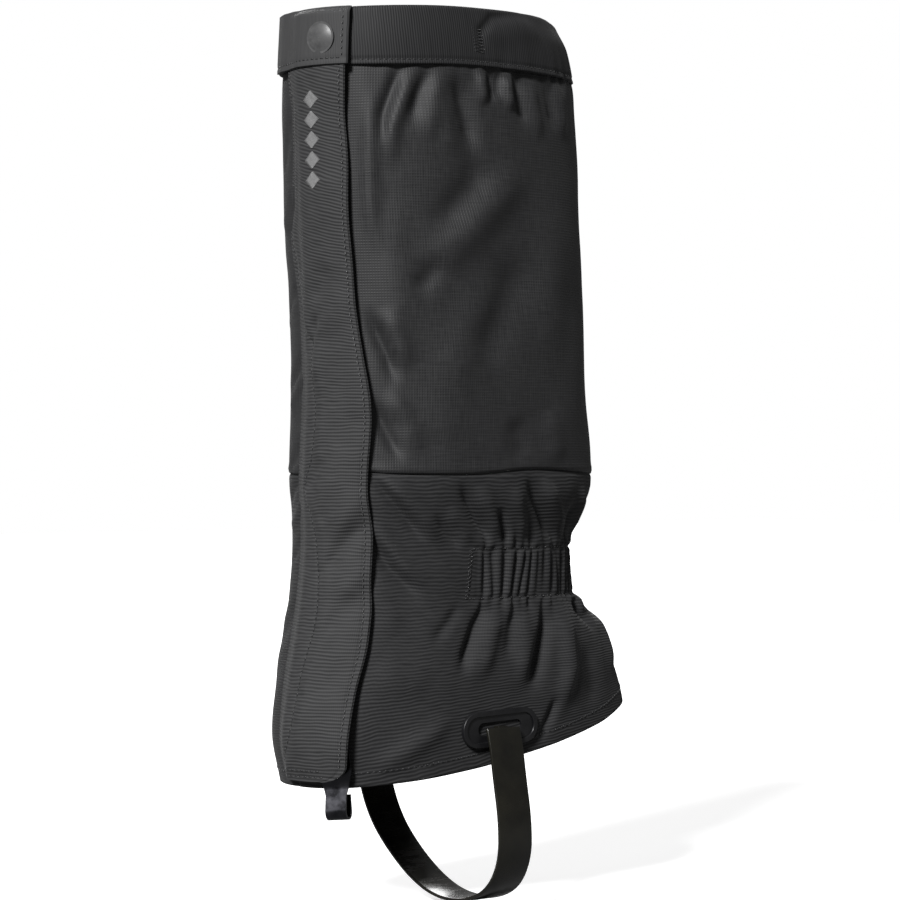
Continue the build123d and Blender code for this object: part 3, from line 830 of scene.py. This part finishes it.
BAND_PROFILE = np.concatenate([
    np.linspace(0.0, 0.08, 5), np.linspace(0.12, 0.93, 20), np.linspace(0.95, 1.0, 4),
])
BAND_SKIN = 1.45        # half the thickness of the folded band
BAND_STITCH = 0.075     # height of its stitch row, as a share of the band's


def band_points(angle, t, side):
    """Points of the folded cuff: t from its lower edge to its fold, side 1 outside and -1 inside."""
    s = arc_of(angle, CUFF_LEVEL)
    z = band_bottom(s) + (band_top(s) - band_bottom(s)) * t
    round_top = np.sqrt(np.clip(1 - np.clip((t - 0.93) / 0.07, 0, 1) ** 2, 0, 1))
    hem = 1 - 0.35 * np.exp(-(((t - BAND_STITCH) / 0.02) ** 2))
    curl = -2.2 * ease((t - 0.55) / 0.45) * ease((np.minimum(s, PERIMETER[CUFF_LEVEL] - s) - 110) / 60)
    lift = side * BAND_SKIN * round_top * hem + band_bulge(s, t) * (0.9 if side > 0 else 0.75) + curl
    return (*sleeve_points(angle, z, lift), s)


def build_top_band():
    angle = np.linspace(3.2, 345.0, 420)[None, :]
    sides = [(t, 1) for t in BAND_PROFILE] + [(t, -1) for t in BAND_PROFILE[::-1]]
    rows = [band_points(angle, t, side) for t, side in sides]
    x, y, z, s = (np.concatenate([np.broadcast_to(row[k], angle.shape) for row in rows]) for k in range(4))
    count, columns = x.shape
    first = tuple(i * columns for i in reversed(range(count)))
    last = tuple(i * columns + columns - 1 for i in range(count))
    piece = grid_mesh("cuff_band", x, y, z, s, z, (first, last), close_rows=True)
    dress(piece, BAND)
    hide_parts("top_band", "top_elastic")


# ---- flap ---------------------------------------------------------------------------------------
def flap_edge(z):
    wave = 0.5 * np.sin(z / 21.0 + 0.4) + 0.35 * np.sin(z / 9.5)
    return curve(z, FLAP_EDGE) + wave * ease((350 - z) / 30)


FLAP_FOLDS = (
    (((34, 138), (26, 126), (16, 108), (12, 98)), -1.5, 3.6),
    (((35, 150), (27, 138), (15, 124)), 1.1, 5.0),
    (((34, 104), (26, 90), (14, 68)), -1.0, 4.6),
    (((34, 116), (28, 104), (20, 92)), 0.9, 4.6),
    (((20, 262), (14, 250), (6, 240)), -1.3, 5.0),
    (((28, 250), (22, 236), (10, 224)), 0.9, 6.0),
    (((12, 238), (7, 226), (4, 214)), -1.6, 3.0),
    (((16, 224), (12, 214), (8, 200)), 1.0, 4.0),
    (((14, 166), (8, 154), (2, 146)), -1.3, 3.4),
    (((20, 160), (16, 148), (10, 134)), 0.8, 4.6),
    (((30, 52), (20, 40), (10, 30)), 0.8, 7.0),
    (((32, 190), (26, 176), (22, 164)), -0.8, 5.0),
    (((24, 310), (19, 292), (16, 276)), 0.6, 7.0),
    (((30, 66), (24, 52), (16, 44)), -0.7, 4.5),
)


def flap_height(x, z):
    """Outer face of the flap over the sleeve's surface."""
    over_band = ease((z - 334) / 22)
    low = ease((48 - z) / 24)
    stand = 5.3 + 1.9 * low + 0.9 * over_band
    root = 1.1 + 2.0 * over_band
    rise = ease((x + 7.5) / 13.5)
    folds = FLAP_FOLD_DEPTH * sum(ridge(x, z, *fold) for fold in FLAP_FOLDS)
    edge = ease((x - flap_edge(z) + 10) / 10)
    lift = 0.9 * np.sin(z / 33.0 + 1.0) + 0.5 * np.sin(z / 14.0)
    seam = x - curve(z, ROOT_STITCHES)
    puff = 0.9 * np.exp(-(((seam - 4.0) / 2.6) ** 2)) * (0.7 + 0.3 * np.sin(z / 5.2 + np.sin(z / 17.0)))
    calm = 1 - 0.7 * over_band
    side = ease((x + 9.5) / 5) * 0.5 - 0.5
    shape = folds * ease((x + 6) / 8) + edge * lift * ease((350 - z) / 30) + puff + side
    return root + (stand - root) * rise + shape * calm


EDGE_MARGIN = 2.2       # from the flap's free edge to its stitch row
LOW_MARGIN = 2.4        # from its lower edge to its lower stitch row


def flap_groove(x, z, left, right):
    """Sewn lines sink in: along the seam, along the free edge and along the lower edge."""
    seam = 1.6 * np.exp(-(((x - curve(z, ROOT_STITCHES)) / 0.7) ** 2))
    side = np.exp(-(((right - x - EDGE_MARGIN) / 0.55) ** 2))
    low = 0.7 * np.exp(-(((z - FLAP_LOW - LOW_MARGIN) / 0.6) ** 2))
    return -0.32 * (seam + side + low)


def flap_left(z):
    """Medial edge of the flap's cloth, sewn flat on the sleeve."""
    return -8.8 - 6.2 * np.exp(-(((z - 277) / 25) ** 2))


def there_and_back(outer, inner):
    return np.concatenate([outer, inner[:, ::-1]], axis=1)


def slab_caps(rows, columns):
    """Quads that close the first and the last row of a slab whose columns run out and back."""
    faces = []
    for first in (0, (rows - 1) * columns):
        for j in range(columns // 2 - 1):
            quad = (first + j, first + j + 1, first + columns - 2 - j, first + columns - 1 - j)
            faces.append(quad[::-1] if first == 0 else quad)
    return faces


def flap_slab(name, left, right, z, thick, columns, height, groove=None):
    """Closed double cloth over the front: left and right edges per row of heights."""
    share = np.linspace(0, 1, columns)
    share = np.concatenate([[0, 0.006, 0.014], share[1:-1], [0.986, 0.994, 1]])[None, :]
    left, right = left[:, None], right[:, None]
    x = left + (right - left) * share
    z = np.broadcast_to(z[:, None], x.shape)
    edge = np.minimum(share, 1 - share) * (right - left)
    rounding = 1 - (1 - np.clip(edge / (thick / 2), 0, 1)) ** 2
    half = thick / 2 * np.sqrt(np.clip(rounding, 0.02, 1))
    centre = height(x, z) - thick / 2 + (groove(x, z, left, right) if groove else 0)
    angle = front_angle(x, z)
    outer, inner = sleeve_points(angle, z, centre + half), sleeve_points(angle, z, centre - half)
    xs, ys, zs = (there_and_back(o, i) for o, i in zip(outer, inner))
    v = z + np.tan(np.radians(19) * ease((z - 175) / 120)) * x      # its ribs slant more and more upwards
    u, v = there_and_back(x, x), there_and_back(v, v)
    return grid_mesh(name, xs, ys, zs, u, v, slab_caps(*xs.shape), close_columns=True)


def corner_rows(low, high, count, corner):
    """Heights for a slab with a rounded lower corner: closer together near the bottom."""
    near = low + corner * (1 - np.cos(np.linspace(0, math.pi / 2, 14)))
    return np.concatenate([near, np.linspace(low + corner, high, count)[1:]])


def bend_at_hinge(piece, material):
    """Gives the piece its material and bakes its placement into its mesh; it is attached to no body."""
    dress(piece, material, body=None)
    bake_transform(piece)


FLAP_CORNER = 8.0


def flap_right(z):
    corner = np.clip((FLAP_LOW + FLAP_CORNER - z) / FLAP_CORNER, 0, 1)
    return flap_edge(z) - FLAP_CORNER * (1 - np.sqrt(1 - corner**2))


def build_flap():
    z = corner_rows(FLAP_LOW, 374.0, 330, FLAP_CORNER)
    piece = flap_slab("front_flap_cloth", flap_left(z), flap_right(z), z, 1.5, 90, flap_height, flap_groove)
    # the flap gets the lighter copy of the ottoman cloth, which carries painted light
    bend_at_hinge(piece, FLAP_CLOTH_PAINTED_LIT)
    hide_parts("front_flap", "flap_lining")


TAB_LEFT, TAB_RIGHT, TAB_LOW, TAB_HIGH = -24.5, 29.6, 358.6, 387.6
TAB_STITCH = 361.6      # height of the tab's lower stitch row


def tab_height(x, z):
    """Outer face of the tab over the sleeve's surface: it lies on the flap's upper end."""
    round_top = 1 - 0.5 * ease((z - 384.5) / 3.0) * ease((x + 6) / 8)
    flap = flap_height(x, np.full_like(z, 372.0)) * 0.985
    return flap * round_top + 1.25 * ease((x + 22) / 10) + 0.25 * np.sin(x / 6.0)


def tab_groove(x, z, left, right):
    low = np.exp(-(((z - TAB_STITCH) / 0.6) ** 2))
    side = np.exp(-(((right - x - EDGE_MARGIN) / 0.55) ** 2))
    return -0.3 * (low + side)


def build_tab():
    t = np.concatenate([[0, 0.01, 0.03], np.linspace(0.06, 0.94, 26), [0.97, 0.99, 1.0]])
    z = TAB_LOW + (TAB_HIGH - TAB_LOW) * t
    left, right = np.full_like(z, TAB_LEFT), np.full_like(z, TAB_RIGHT)
    piece = flap_slab("cuff_tab", left, right, z, 2.8, 50, tab_height, tab_groove)
    bend_at_hinge(piece, TAB)
    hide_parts("band_tab")


TAPE_LEFT, TAPE_RIGHT, TAPE_TOP = 6.0, 26.0, 351.0


def build_tape(name, node, body, low, height, material):
    z = np.linspace(low, TAPE_TOP, 90)
    left, right = np.full_like(z, TAPE_LEFT), np.full_like(z, TAPE_RIGHT)
    piece = flap_slab(name, left, right, z, 1.2, 14, height)
    dress(piece, material, body)
    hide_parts(node)


def build_tapes():
    def on_sleeve(x, z):
        return np.full_like(x, 1.65)

    def under_flap(x, z):
        return flap_height(x, z) - 1.85

    build_tape("hook_tape_strip", "hook_tape", "sleeve", 32.0, on_sleeve, HOOK_TAPE)
    build_tape("loop_tape_strip", "loop_tape", "flap", 54.0, under_flap, LOOP_TAPE)


# ---- stitches -----------------------------------------------------------------------------------
def stitch_shape(sides=6):
    """Unit stitch along X: a low rounded thread, from -0.5 to 0.5."""
    rings = ((-0.5, 0.25), (-0.34, 0.9), (0.0, 1.0), (0.34, 0.9), (0.5, 0.25))
    turns = np.arange(sides) * 2 * math.pi / sides
    verts = [(x, r * math.cos(a), r * math.sin(a)) for x, r in rings for a in turns]
    faces = []
    for i in range(len(rings) - 1):
        for j in range(sides):
            k = (j + 1) % sides
            faces.append((i * sides + j, (i + 1) * sides + j, (i + 1) * sides + k, i * sides + k))
    faces.append(tuple(range(sides)))
    faces.append(tuple(reversed(range((len(rings) - 1) * sides, len(rings) * sides))))
    return np.array(verts), faces


STITCH_VERTS, STITCH_FACES = stitch_shape()


def stitch_solids(points, normals, length, gap, width, height):
    """Corner points in mm of each stitch along one run."""
    run = np.concatenate([[0], np.cumsum(np.linalg.norm(np.diff(points, axis=0), axis=1))])
    count = max(1, int(run[-1] // (length + gap)))
    for i in range(count):
        start = (i + 0.5) * run[-1] / count - length / 2
        p, q = (np.array([np.interp(start + d, run, points[:, k]) for k in range(3)]) for d in (0, length))
        normal = np.array([np.interp(start + length / 2, run, normals[:, k]) for k in range(3)])
        along = (q - p) / max(np.linalg.norm(q - p), 1e-6)
        normal = normal - along * (normal @ along)
        normal = normal / max(np.linalg.norm(normal), 1e-6)
        side = np.cross(normal, along)
        yield (p + q) / 2 + STITCH_VERTS @ np.stack([along * length, side * width, normal * height])


def stitches(name, runs, length=2.1, gap=0.9, width=0.42, height=0.34):
    """Thread stitches along runs of (points, normals) in mm; length is one number, or one for each run."""
    verts, faces = [], []
    for (points, normals), size in zip(runs, np.broadcast_to(length, len(runs))):
        for solid in stitch_solids(points, normals, size, gap, width, height):
            first = len(verts)
            verts.extend(tuple(point) for point in solid * MM)
            faces.extend(tuple(first + v for v in face) for face in STITCH_FACES)
    return new_mesh(name, verts, faces)


def run_of(points, angle):
    """Points (x, y, z) on the cloth at these angles and the normals there, as rows."""
    x, y, z = points
    _, _, nx, ny = surface(angle, z)
    return np.stack([x, y, z], 1), np.stack([nx, ny, 0 * nx], 1)


def sleeve_run(s, z, lift):
    """Run on the sleeve's cloth at arc lengths s and heights z."""
    angle = angle_of(s, z)
    return run_of(sleeve_points(angle, z, shell_shape(s, z) + lift), angle)


def flap_run(x, z, lift, height=flap_height):
    """Run on the flap's or the tab's cloth."""
    x, z = np.broadcast_arrays(np.asarray(x, float), np.asarray(z, float))
    angle = front_angle(x, z)
    return run_of(sleeve_points(angle, z, height(x, z) + lift), angle)


def band_run():
    s = np.linspace(34, PERIMETER[CUFF_LEVEL] - 27, 420)
    angle = angle_of(s, CUFF_LEVEL)
    *points, _ = band_points(angle, np.full_like(angle, BAND_STITCH), 1)
    return run_of(points, angle)


def ankle_runs():
    """The elastic's two stitch rows and the zigzag at each of its ends."""
    s = np.linspace(GATHER_START, GATHER_END, 500)
    rows = [sleeve_run(s, np.full_like(s, z), 0.5) for z in (ANKLE_LOW, ANKLE_HIGH)]
    z = np.linspace(ANKLE_LOW, ANKLE_HIGH, 26)
    zigzag = 1.4 * np.where(np.arange(len(z)) % 2, 1, -1)
    return rows + [sleeve_run(end + zigzag, z, 0.55) for end in (GATHER_START, GATHER_END)]


def hem_run():
    angle = angle_of(np.linspace(6, arc_of(360, 20.0) - 6, 520), 12.0)
    z = hem_at(angle) + 7.0
    return run_of(sleeve_points(angle, z, shell_shape(arc_of(angle, z), z) + 0.42), angle)


def build_stitches():
    z = np.linspace(FLAP_LOW + 3, BAND_LOW - 2, 300)
    z_edge = np.linspace(FLAP_LOW + 7, BAND_LOW - 2, 300)
    across = np.linspace(0.0, 22.0, 20)
    flap_runs = [
        flap_run(curve(z, ROOT_STITCHES), z, -0.4),
        flap_run(flap_right(z_edge) - EDGE_MARGIN, z_edge, -0.22),
        flap_run(across, FLAP_LOW + LOW_MARGIN, -0.2),
        flap_run(across - 1, FLAP_LOW + LOW_MARGIN + 3, 0.05),
    ]
    bend_at_hinge(stitches("flap_stitches", flap_runs), THREAD)
    up = np.linspace(362, 386, 16)
    tab_runs = [
        flap_run(np.linspace(-21, 27, 30), TAB_STITCH, -0.2, tab_height),
        flap_run(TAB_RIGHT - EDGE_MARGIN, up, -0.2, tab_height),
    ]
    bend_at_hinge(stitches("tab_stitches", tab_runs, 2.0, 0.8), THREAD)
    sleeve_runs = [band_run(), *ankle_runs(), hem_run()]
    dress(stitches("sleeve_stitches", sleeve_runs), THREAD)


def build_bartacks():
    """Short dense bars of thread: the two ends of the cuff's elastic."""
    runs = []
    for centre in (CUFF_ELASTIC_START, PERIMETER[CUFF_LEVEL] - CUFF_ELASTIC_START):
        for k in range(16):
            s = centre + np.array([-3.2, 3.2]) + 0.25 * math.sin(k * 2.1)
            angle = angle_of(s, CUFF_LEVEL)
            x, y, z, _ = band_points(angle, np.full(2, 0.24 + 0.028 * k), 1)
            lean = np.array([-0.7, 0.7]) * (1 if k % 2 else -1)
            runs.append(run_of((x, y, z + lean), angle))
    dress(stitches("cuff_bartacks", runs, 6.2, 0.1, 0.3, 0.32), THREAD)


def build_motif():
    """Generic decoration: a column of satin-stitched lozenges up the flap."""
    runs = []
    x_middle, low, tall, half_wide = 12.5, 302.0, 8.4, 4.2
    for k in range(5):
        middle = low + k * (tall + 1.6)
        for row in np.arange(-tall / 2 + 0.3, tall / 2, 0.55):
            half = half_wide * (1 - abs(row) / (tall / 2)) + 0.3
            x, z = x_middle + np.array([-half, half]), middle + row + np.array([-0.12, 0.12])
            runs.append(flap_run(x, z, 0.12))
    lengths = [max(0.6, 1.05 * float(np.ptp(points[:, 0]))) for points, _ in runs]
    bend_at_hinge(stitches("flap_motif", runs, lengths, 0.01, 0.3, 0.42), MOTIF)


# ---- inner pieces -------------------------------------------------------------------------------
def build_ankle_casing():
    piece = tube_sheet(
        "ankle_casing_cloth", level(ANKLE_LOW - 4), level(ANKLE_HIGH + 4), ((72.0, None), (288.0, None)),
        300, 34, lambda s, z: shell_shape(s, z) - 1.9, thickness=0.5,
    )
    dress(piece, LINING)
    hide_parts("ankle_casing", "ankle_elastic")


def build_hem_facing():
    piece = tube_sheet(
        "hem_facing_cloth", hem_at, lambda a: hem_at(a) + 9.0, ((34.0, None), (357.0, None)),
        300, 8, lambda s, z: shell_shape(s, z) - 0.75, thickness=0.5,
    )
    dress(piece, LINING)
    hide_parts("hem_facing")


def build_hook_patch():
    z = np.linspace(3, 27, 12)
    left, right = np.full_like(z, 14.0), np.full_like(z, 37.0)
    piece = flap_slab("lace_hook_patch_cloth", left, right, z, 0.8, 14, lambda x, z: np.full_like(x, -0.5))
    dress(piece, LINING)
    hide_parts("lace_hook_patch")


# ---- strap --------------------------------------------------------------------------------------
STRAP_LINE = (
    (54.6, 28.0), (57.4, 20.0), (60.0, 4.0), (64.5, -18.0), (64.5, -38.0), (54.0, -54.0),
    (34.0, -61.0), (12.0, -61.0), (-8.0, -54.0), (-28.0, -41.0), (-44.0, -26.0), (-54.0, -6.0),
    (-56.4, 14.0), (-54.6, 28.0),
)
STRAP_Y, STRAP_WIDTH, STRAP_THICK, STRAP_CORNER = -9.0, 21.0, 1.8, 0.55
NECK_X, NECK_SIZE = 51.0, (8.4, 6.0, 1.8)       # the strap's narrow end in the eyelet's slot
TOGGLE_X, TOGGLE_SIZE = 46.6, (2.0, 25.0, 4.0)  # the bar that keeps it there


def smooth_line(points, samples):
    """Points along a NURBS curve through the strap's line, in mm."""
    spline = bpy.data.curves.new("line", "CURVE")
    spline.dimensions = "3D"
    path = spline.splines.new("NURBS")
    path.points.add(len(points) - 1)
    for point, (x, z) in zip(path.points, points):
        point.co = (x, 0, z, 1)
    path.order_u, path.use_endpoint_u, path.resolution_u = 3, True, samples
    holder = bpy.data.objects.new("line", spline)
    bpy.context.collection.objects.link(holder)
    mesh = bpy.data.meshes.new_from_object(holder)
    line = np.array([v.co[:] for v in mesh.vertices])
    bpy.data.objects.remove(holder)
    return line


def strap_profile():
    """Rounded outline of the strap's section: across its width and through its thickness."""
    profile = []
    for side, face, start in ((1, 1, 0), (-1, 1, 90), (-1, -1, 180), (1, -1, 270)):
        for a in np.radians(start + np.array([0, 30, 60, 90])):
            across = side * (STRAP_WIDTH / 2 - STRAP_CORNER) + STRAP_CORNER * math.cos(a)
            through = face * (STRAP_THICK / 2 - STRAP_CORNER) + STRAP_CORNER * math.sin(a)
            profile.append((across, through))
    return np.array(profile)


def build_strap():
    line, profile = smooth_line(STRAP_LINE, 12), strap_profile()
    step = np.gradient(line, axis=0)
    step = step / np.linalg.norm(step, axis=1)[:, None]
    across, through = profile.T[:, None, :]
    x = line[:, None, 0] + step[:, None, 2] * through
    y = STRAP_Y + across + 0 * x
    z = line[:, None, 2] - step[:, None, 0] * through
    rows, columns = x.shape
    verts, faces = grid_points(x, y, z), grid_faces(rows, columns, close_columns=True)
    faces += [tuple(reversed(range(columns))), tuple(range((rows - 1) * columns, rows * columns))]
    for side in (1, -1):
        add_box(verts, faces, (side * NECK_X, STRAP_Y, STRAP_LINE[0][1]), NECK_SIZE)
        add_box(verts, faces, (side * TOGGLE_X, STRAP_Y, STRAP_LINE[0][1]), TOGGLE_SIZE)
    strap = new_mesh("underfoot_strap_moulding", verts, faces)
    for polygon in strap.data.polygons:
        polygon.use_smooth = len(polygon.vertices) == 4
    bevel = strap.modifiers.new("edge", "BEVEL")
    bevel.width, bevel.segments = 0.25 * MM, 2
    bevel.limit_method, bevel.angle_limit = "ANGLE", math.radians(60)
    settle(strap)
    dress(strap, STRAP, "underfoot_strap")
    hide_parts("underfoot_strap")


def add_box(verts, faces, centre, size):
    """Adds a box to a list of points in metres and one of faces; its centre and size are in mm."""
    first = len(verts)
    for dx in (-0.5, 0.5):
        for dy in (-0.5, 0.5):
            for dz in (-0.5, 0.5):
                verts.append(tuple((c + d * e) * MM for c, d, e in zip(centre, (dx, dy, dz), size)))
    for face in ((0, 1, 3, 2), (4, 6, 7, 5), (0, 4, 5, 1), (2, 3, 7, 6), (0, 2, 6, 4), (1, 5, 7, 3)):
        faces.append(tuple(first + v for v in face))


# ---- hard pieces that stay as they are in the CAD -----------------------------------------------
def dress_cad():
    looks = {
        PLASTIC: ("outer_eyelet_plate", "outer_eyelet_backing", "inner_eyelet_plate", "inner_eyelet_backing"),
        STEEL: ("lace_hook", "lace_hook_rivets", "snap_socket", "snap_stud", "snap_post"),
        ENAMEL: ("snap_cap",),
    }
    for material, nodes in looks.items():
        for node in nodes:
            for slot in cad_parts[node].material_slots:
                slot.material = material


# ---- stage --------------------------------------------------------------------------------------
def build_stage():
    size = 6.0
    verts = [(-size, -size, 0), (size, -size, 0), (size, size, 0), (-size, size, 0)]
    floor = new_mesh("floor", verts, [(0, 1, 2, 3)], smooth=False)
    floor.location.z = cad_box[0][2] - 0.002
    floor.data.materials.append(floor_material())
    bpy.context.scene.world = studio_world()


def studio_world():
    """White backdrop, with softer light from it than it looks."""
    world = bpy.data.worlds.new("studio")
    world.use_nodes = True
    tree = world.node_tree
    backdrop, soft = tree.nodes["Background"], tree.nodes.new("ShaderNodeBackground")
    for background, strength in ((backdrop, 1.0), (soft, 0.13)):
        background.inputs["Color"].default_value = (1, 1, 1, 1)
        background.inputs["Strength"].default_value = strength
    seen, mix = tree.nodes.new("ShaderNodeLightPath"), tree.nodes.new("ShaderNodeMixShader")
    tree.links.new(seen.outputs["Is Camera Ray"], mix.inputs[0])
    tree.links.new(soft.outputs[0], mix.inputs[1])
    tree.links.new(backdrop.outputs[0], mix.inputs[2])
    tree.links.new(mix.outputs[0], tree.nodes["World Output"].inputs["Surface"])
    return world


def soft_sun(name, azimuth, elevation, power, spread):
    """Distant soft light from an azimuth that is counted as the camera's is, in degrees."""
    data = bpy.data.lights.new(name, "SUN")
    data.energy, data.angle = power, math.radians(spread)
    light = bpy.data.objects.new(name, data)
    a, e = math.radians(azimuth), math.radians(elevation)
    toward = Vector((math.sin(a) * math.cos(e), -math.cos(a) * math.cos(e), math.sin(e)))
    light.rotation_euler = toward.to_track_quat("Z", "Y").to_euler()
    bpy.context.collection.objects.link(light)


CAMERA_AZIMUTH = math.radians(52)
CAMERA_DISTANCE, CAMERA_HEIGHT = 1.56, 0.168


def build_camera_and_lights():
    """The camera looks level at the leg's axis; the lights are two distant soft ones."""
    data = bpy.data.cameras.new("camera")
    data.lens, data.sensor_width = 120, 36
    camera = bpy.data.objects.new("camera", data)
    away = Vector((math.sin(CAMERA_AZIMUTH), -math.cos(CAMERA_AZIMUTH), 0))
    camera.location = CAMERA_DISTANCE * away + Vector((0, 0, CAMERA_HEIGHT))
    camera.rotation_euler = (-away).to_track_quat("-Z", "Y").to_euler()
    bpy.context.collection.objects.link(camera)
    bpy.context.scene.camera = camera
    soft_sun("key", azimuth=28, elevation=34, power=5.6, spread=12)
    soft_sun("rear", azimuth=245, elevation=35, power=2.0, spread=30)
    bpy.context.scene.view_settings.view_transform = "Standard"


build_camera_and_lights()
build_stage()
build_lower_panel()
build_upper_panel()
build_top_band()
build_flap()
build_tab()
build_tapes()
build_stitches()
build_bartacks()
build_motif()
build_ankle_casing()
build_hem_facing()
build_hook_patch()
build_strap()
dress_cad()
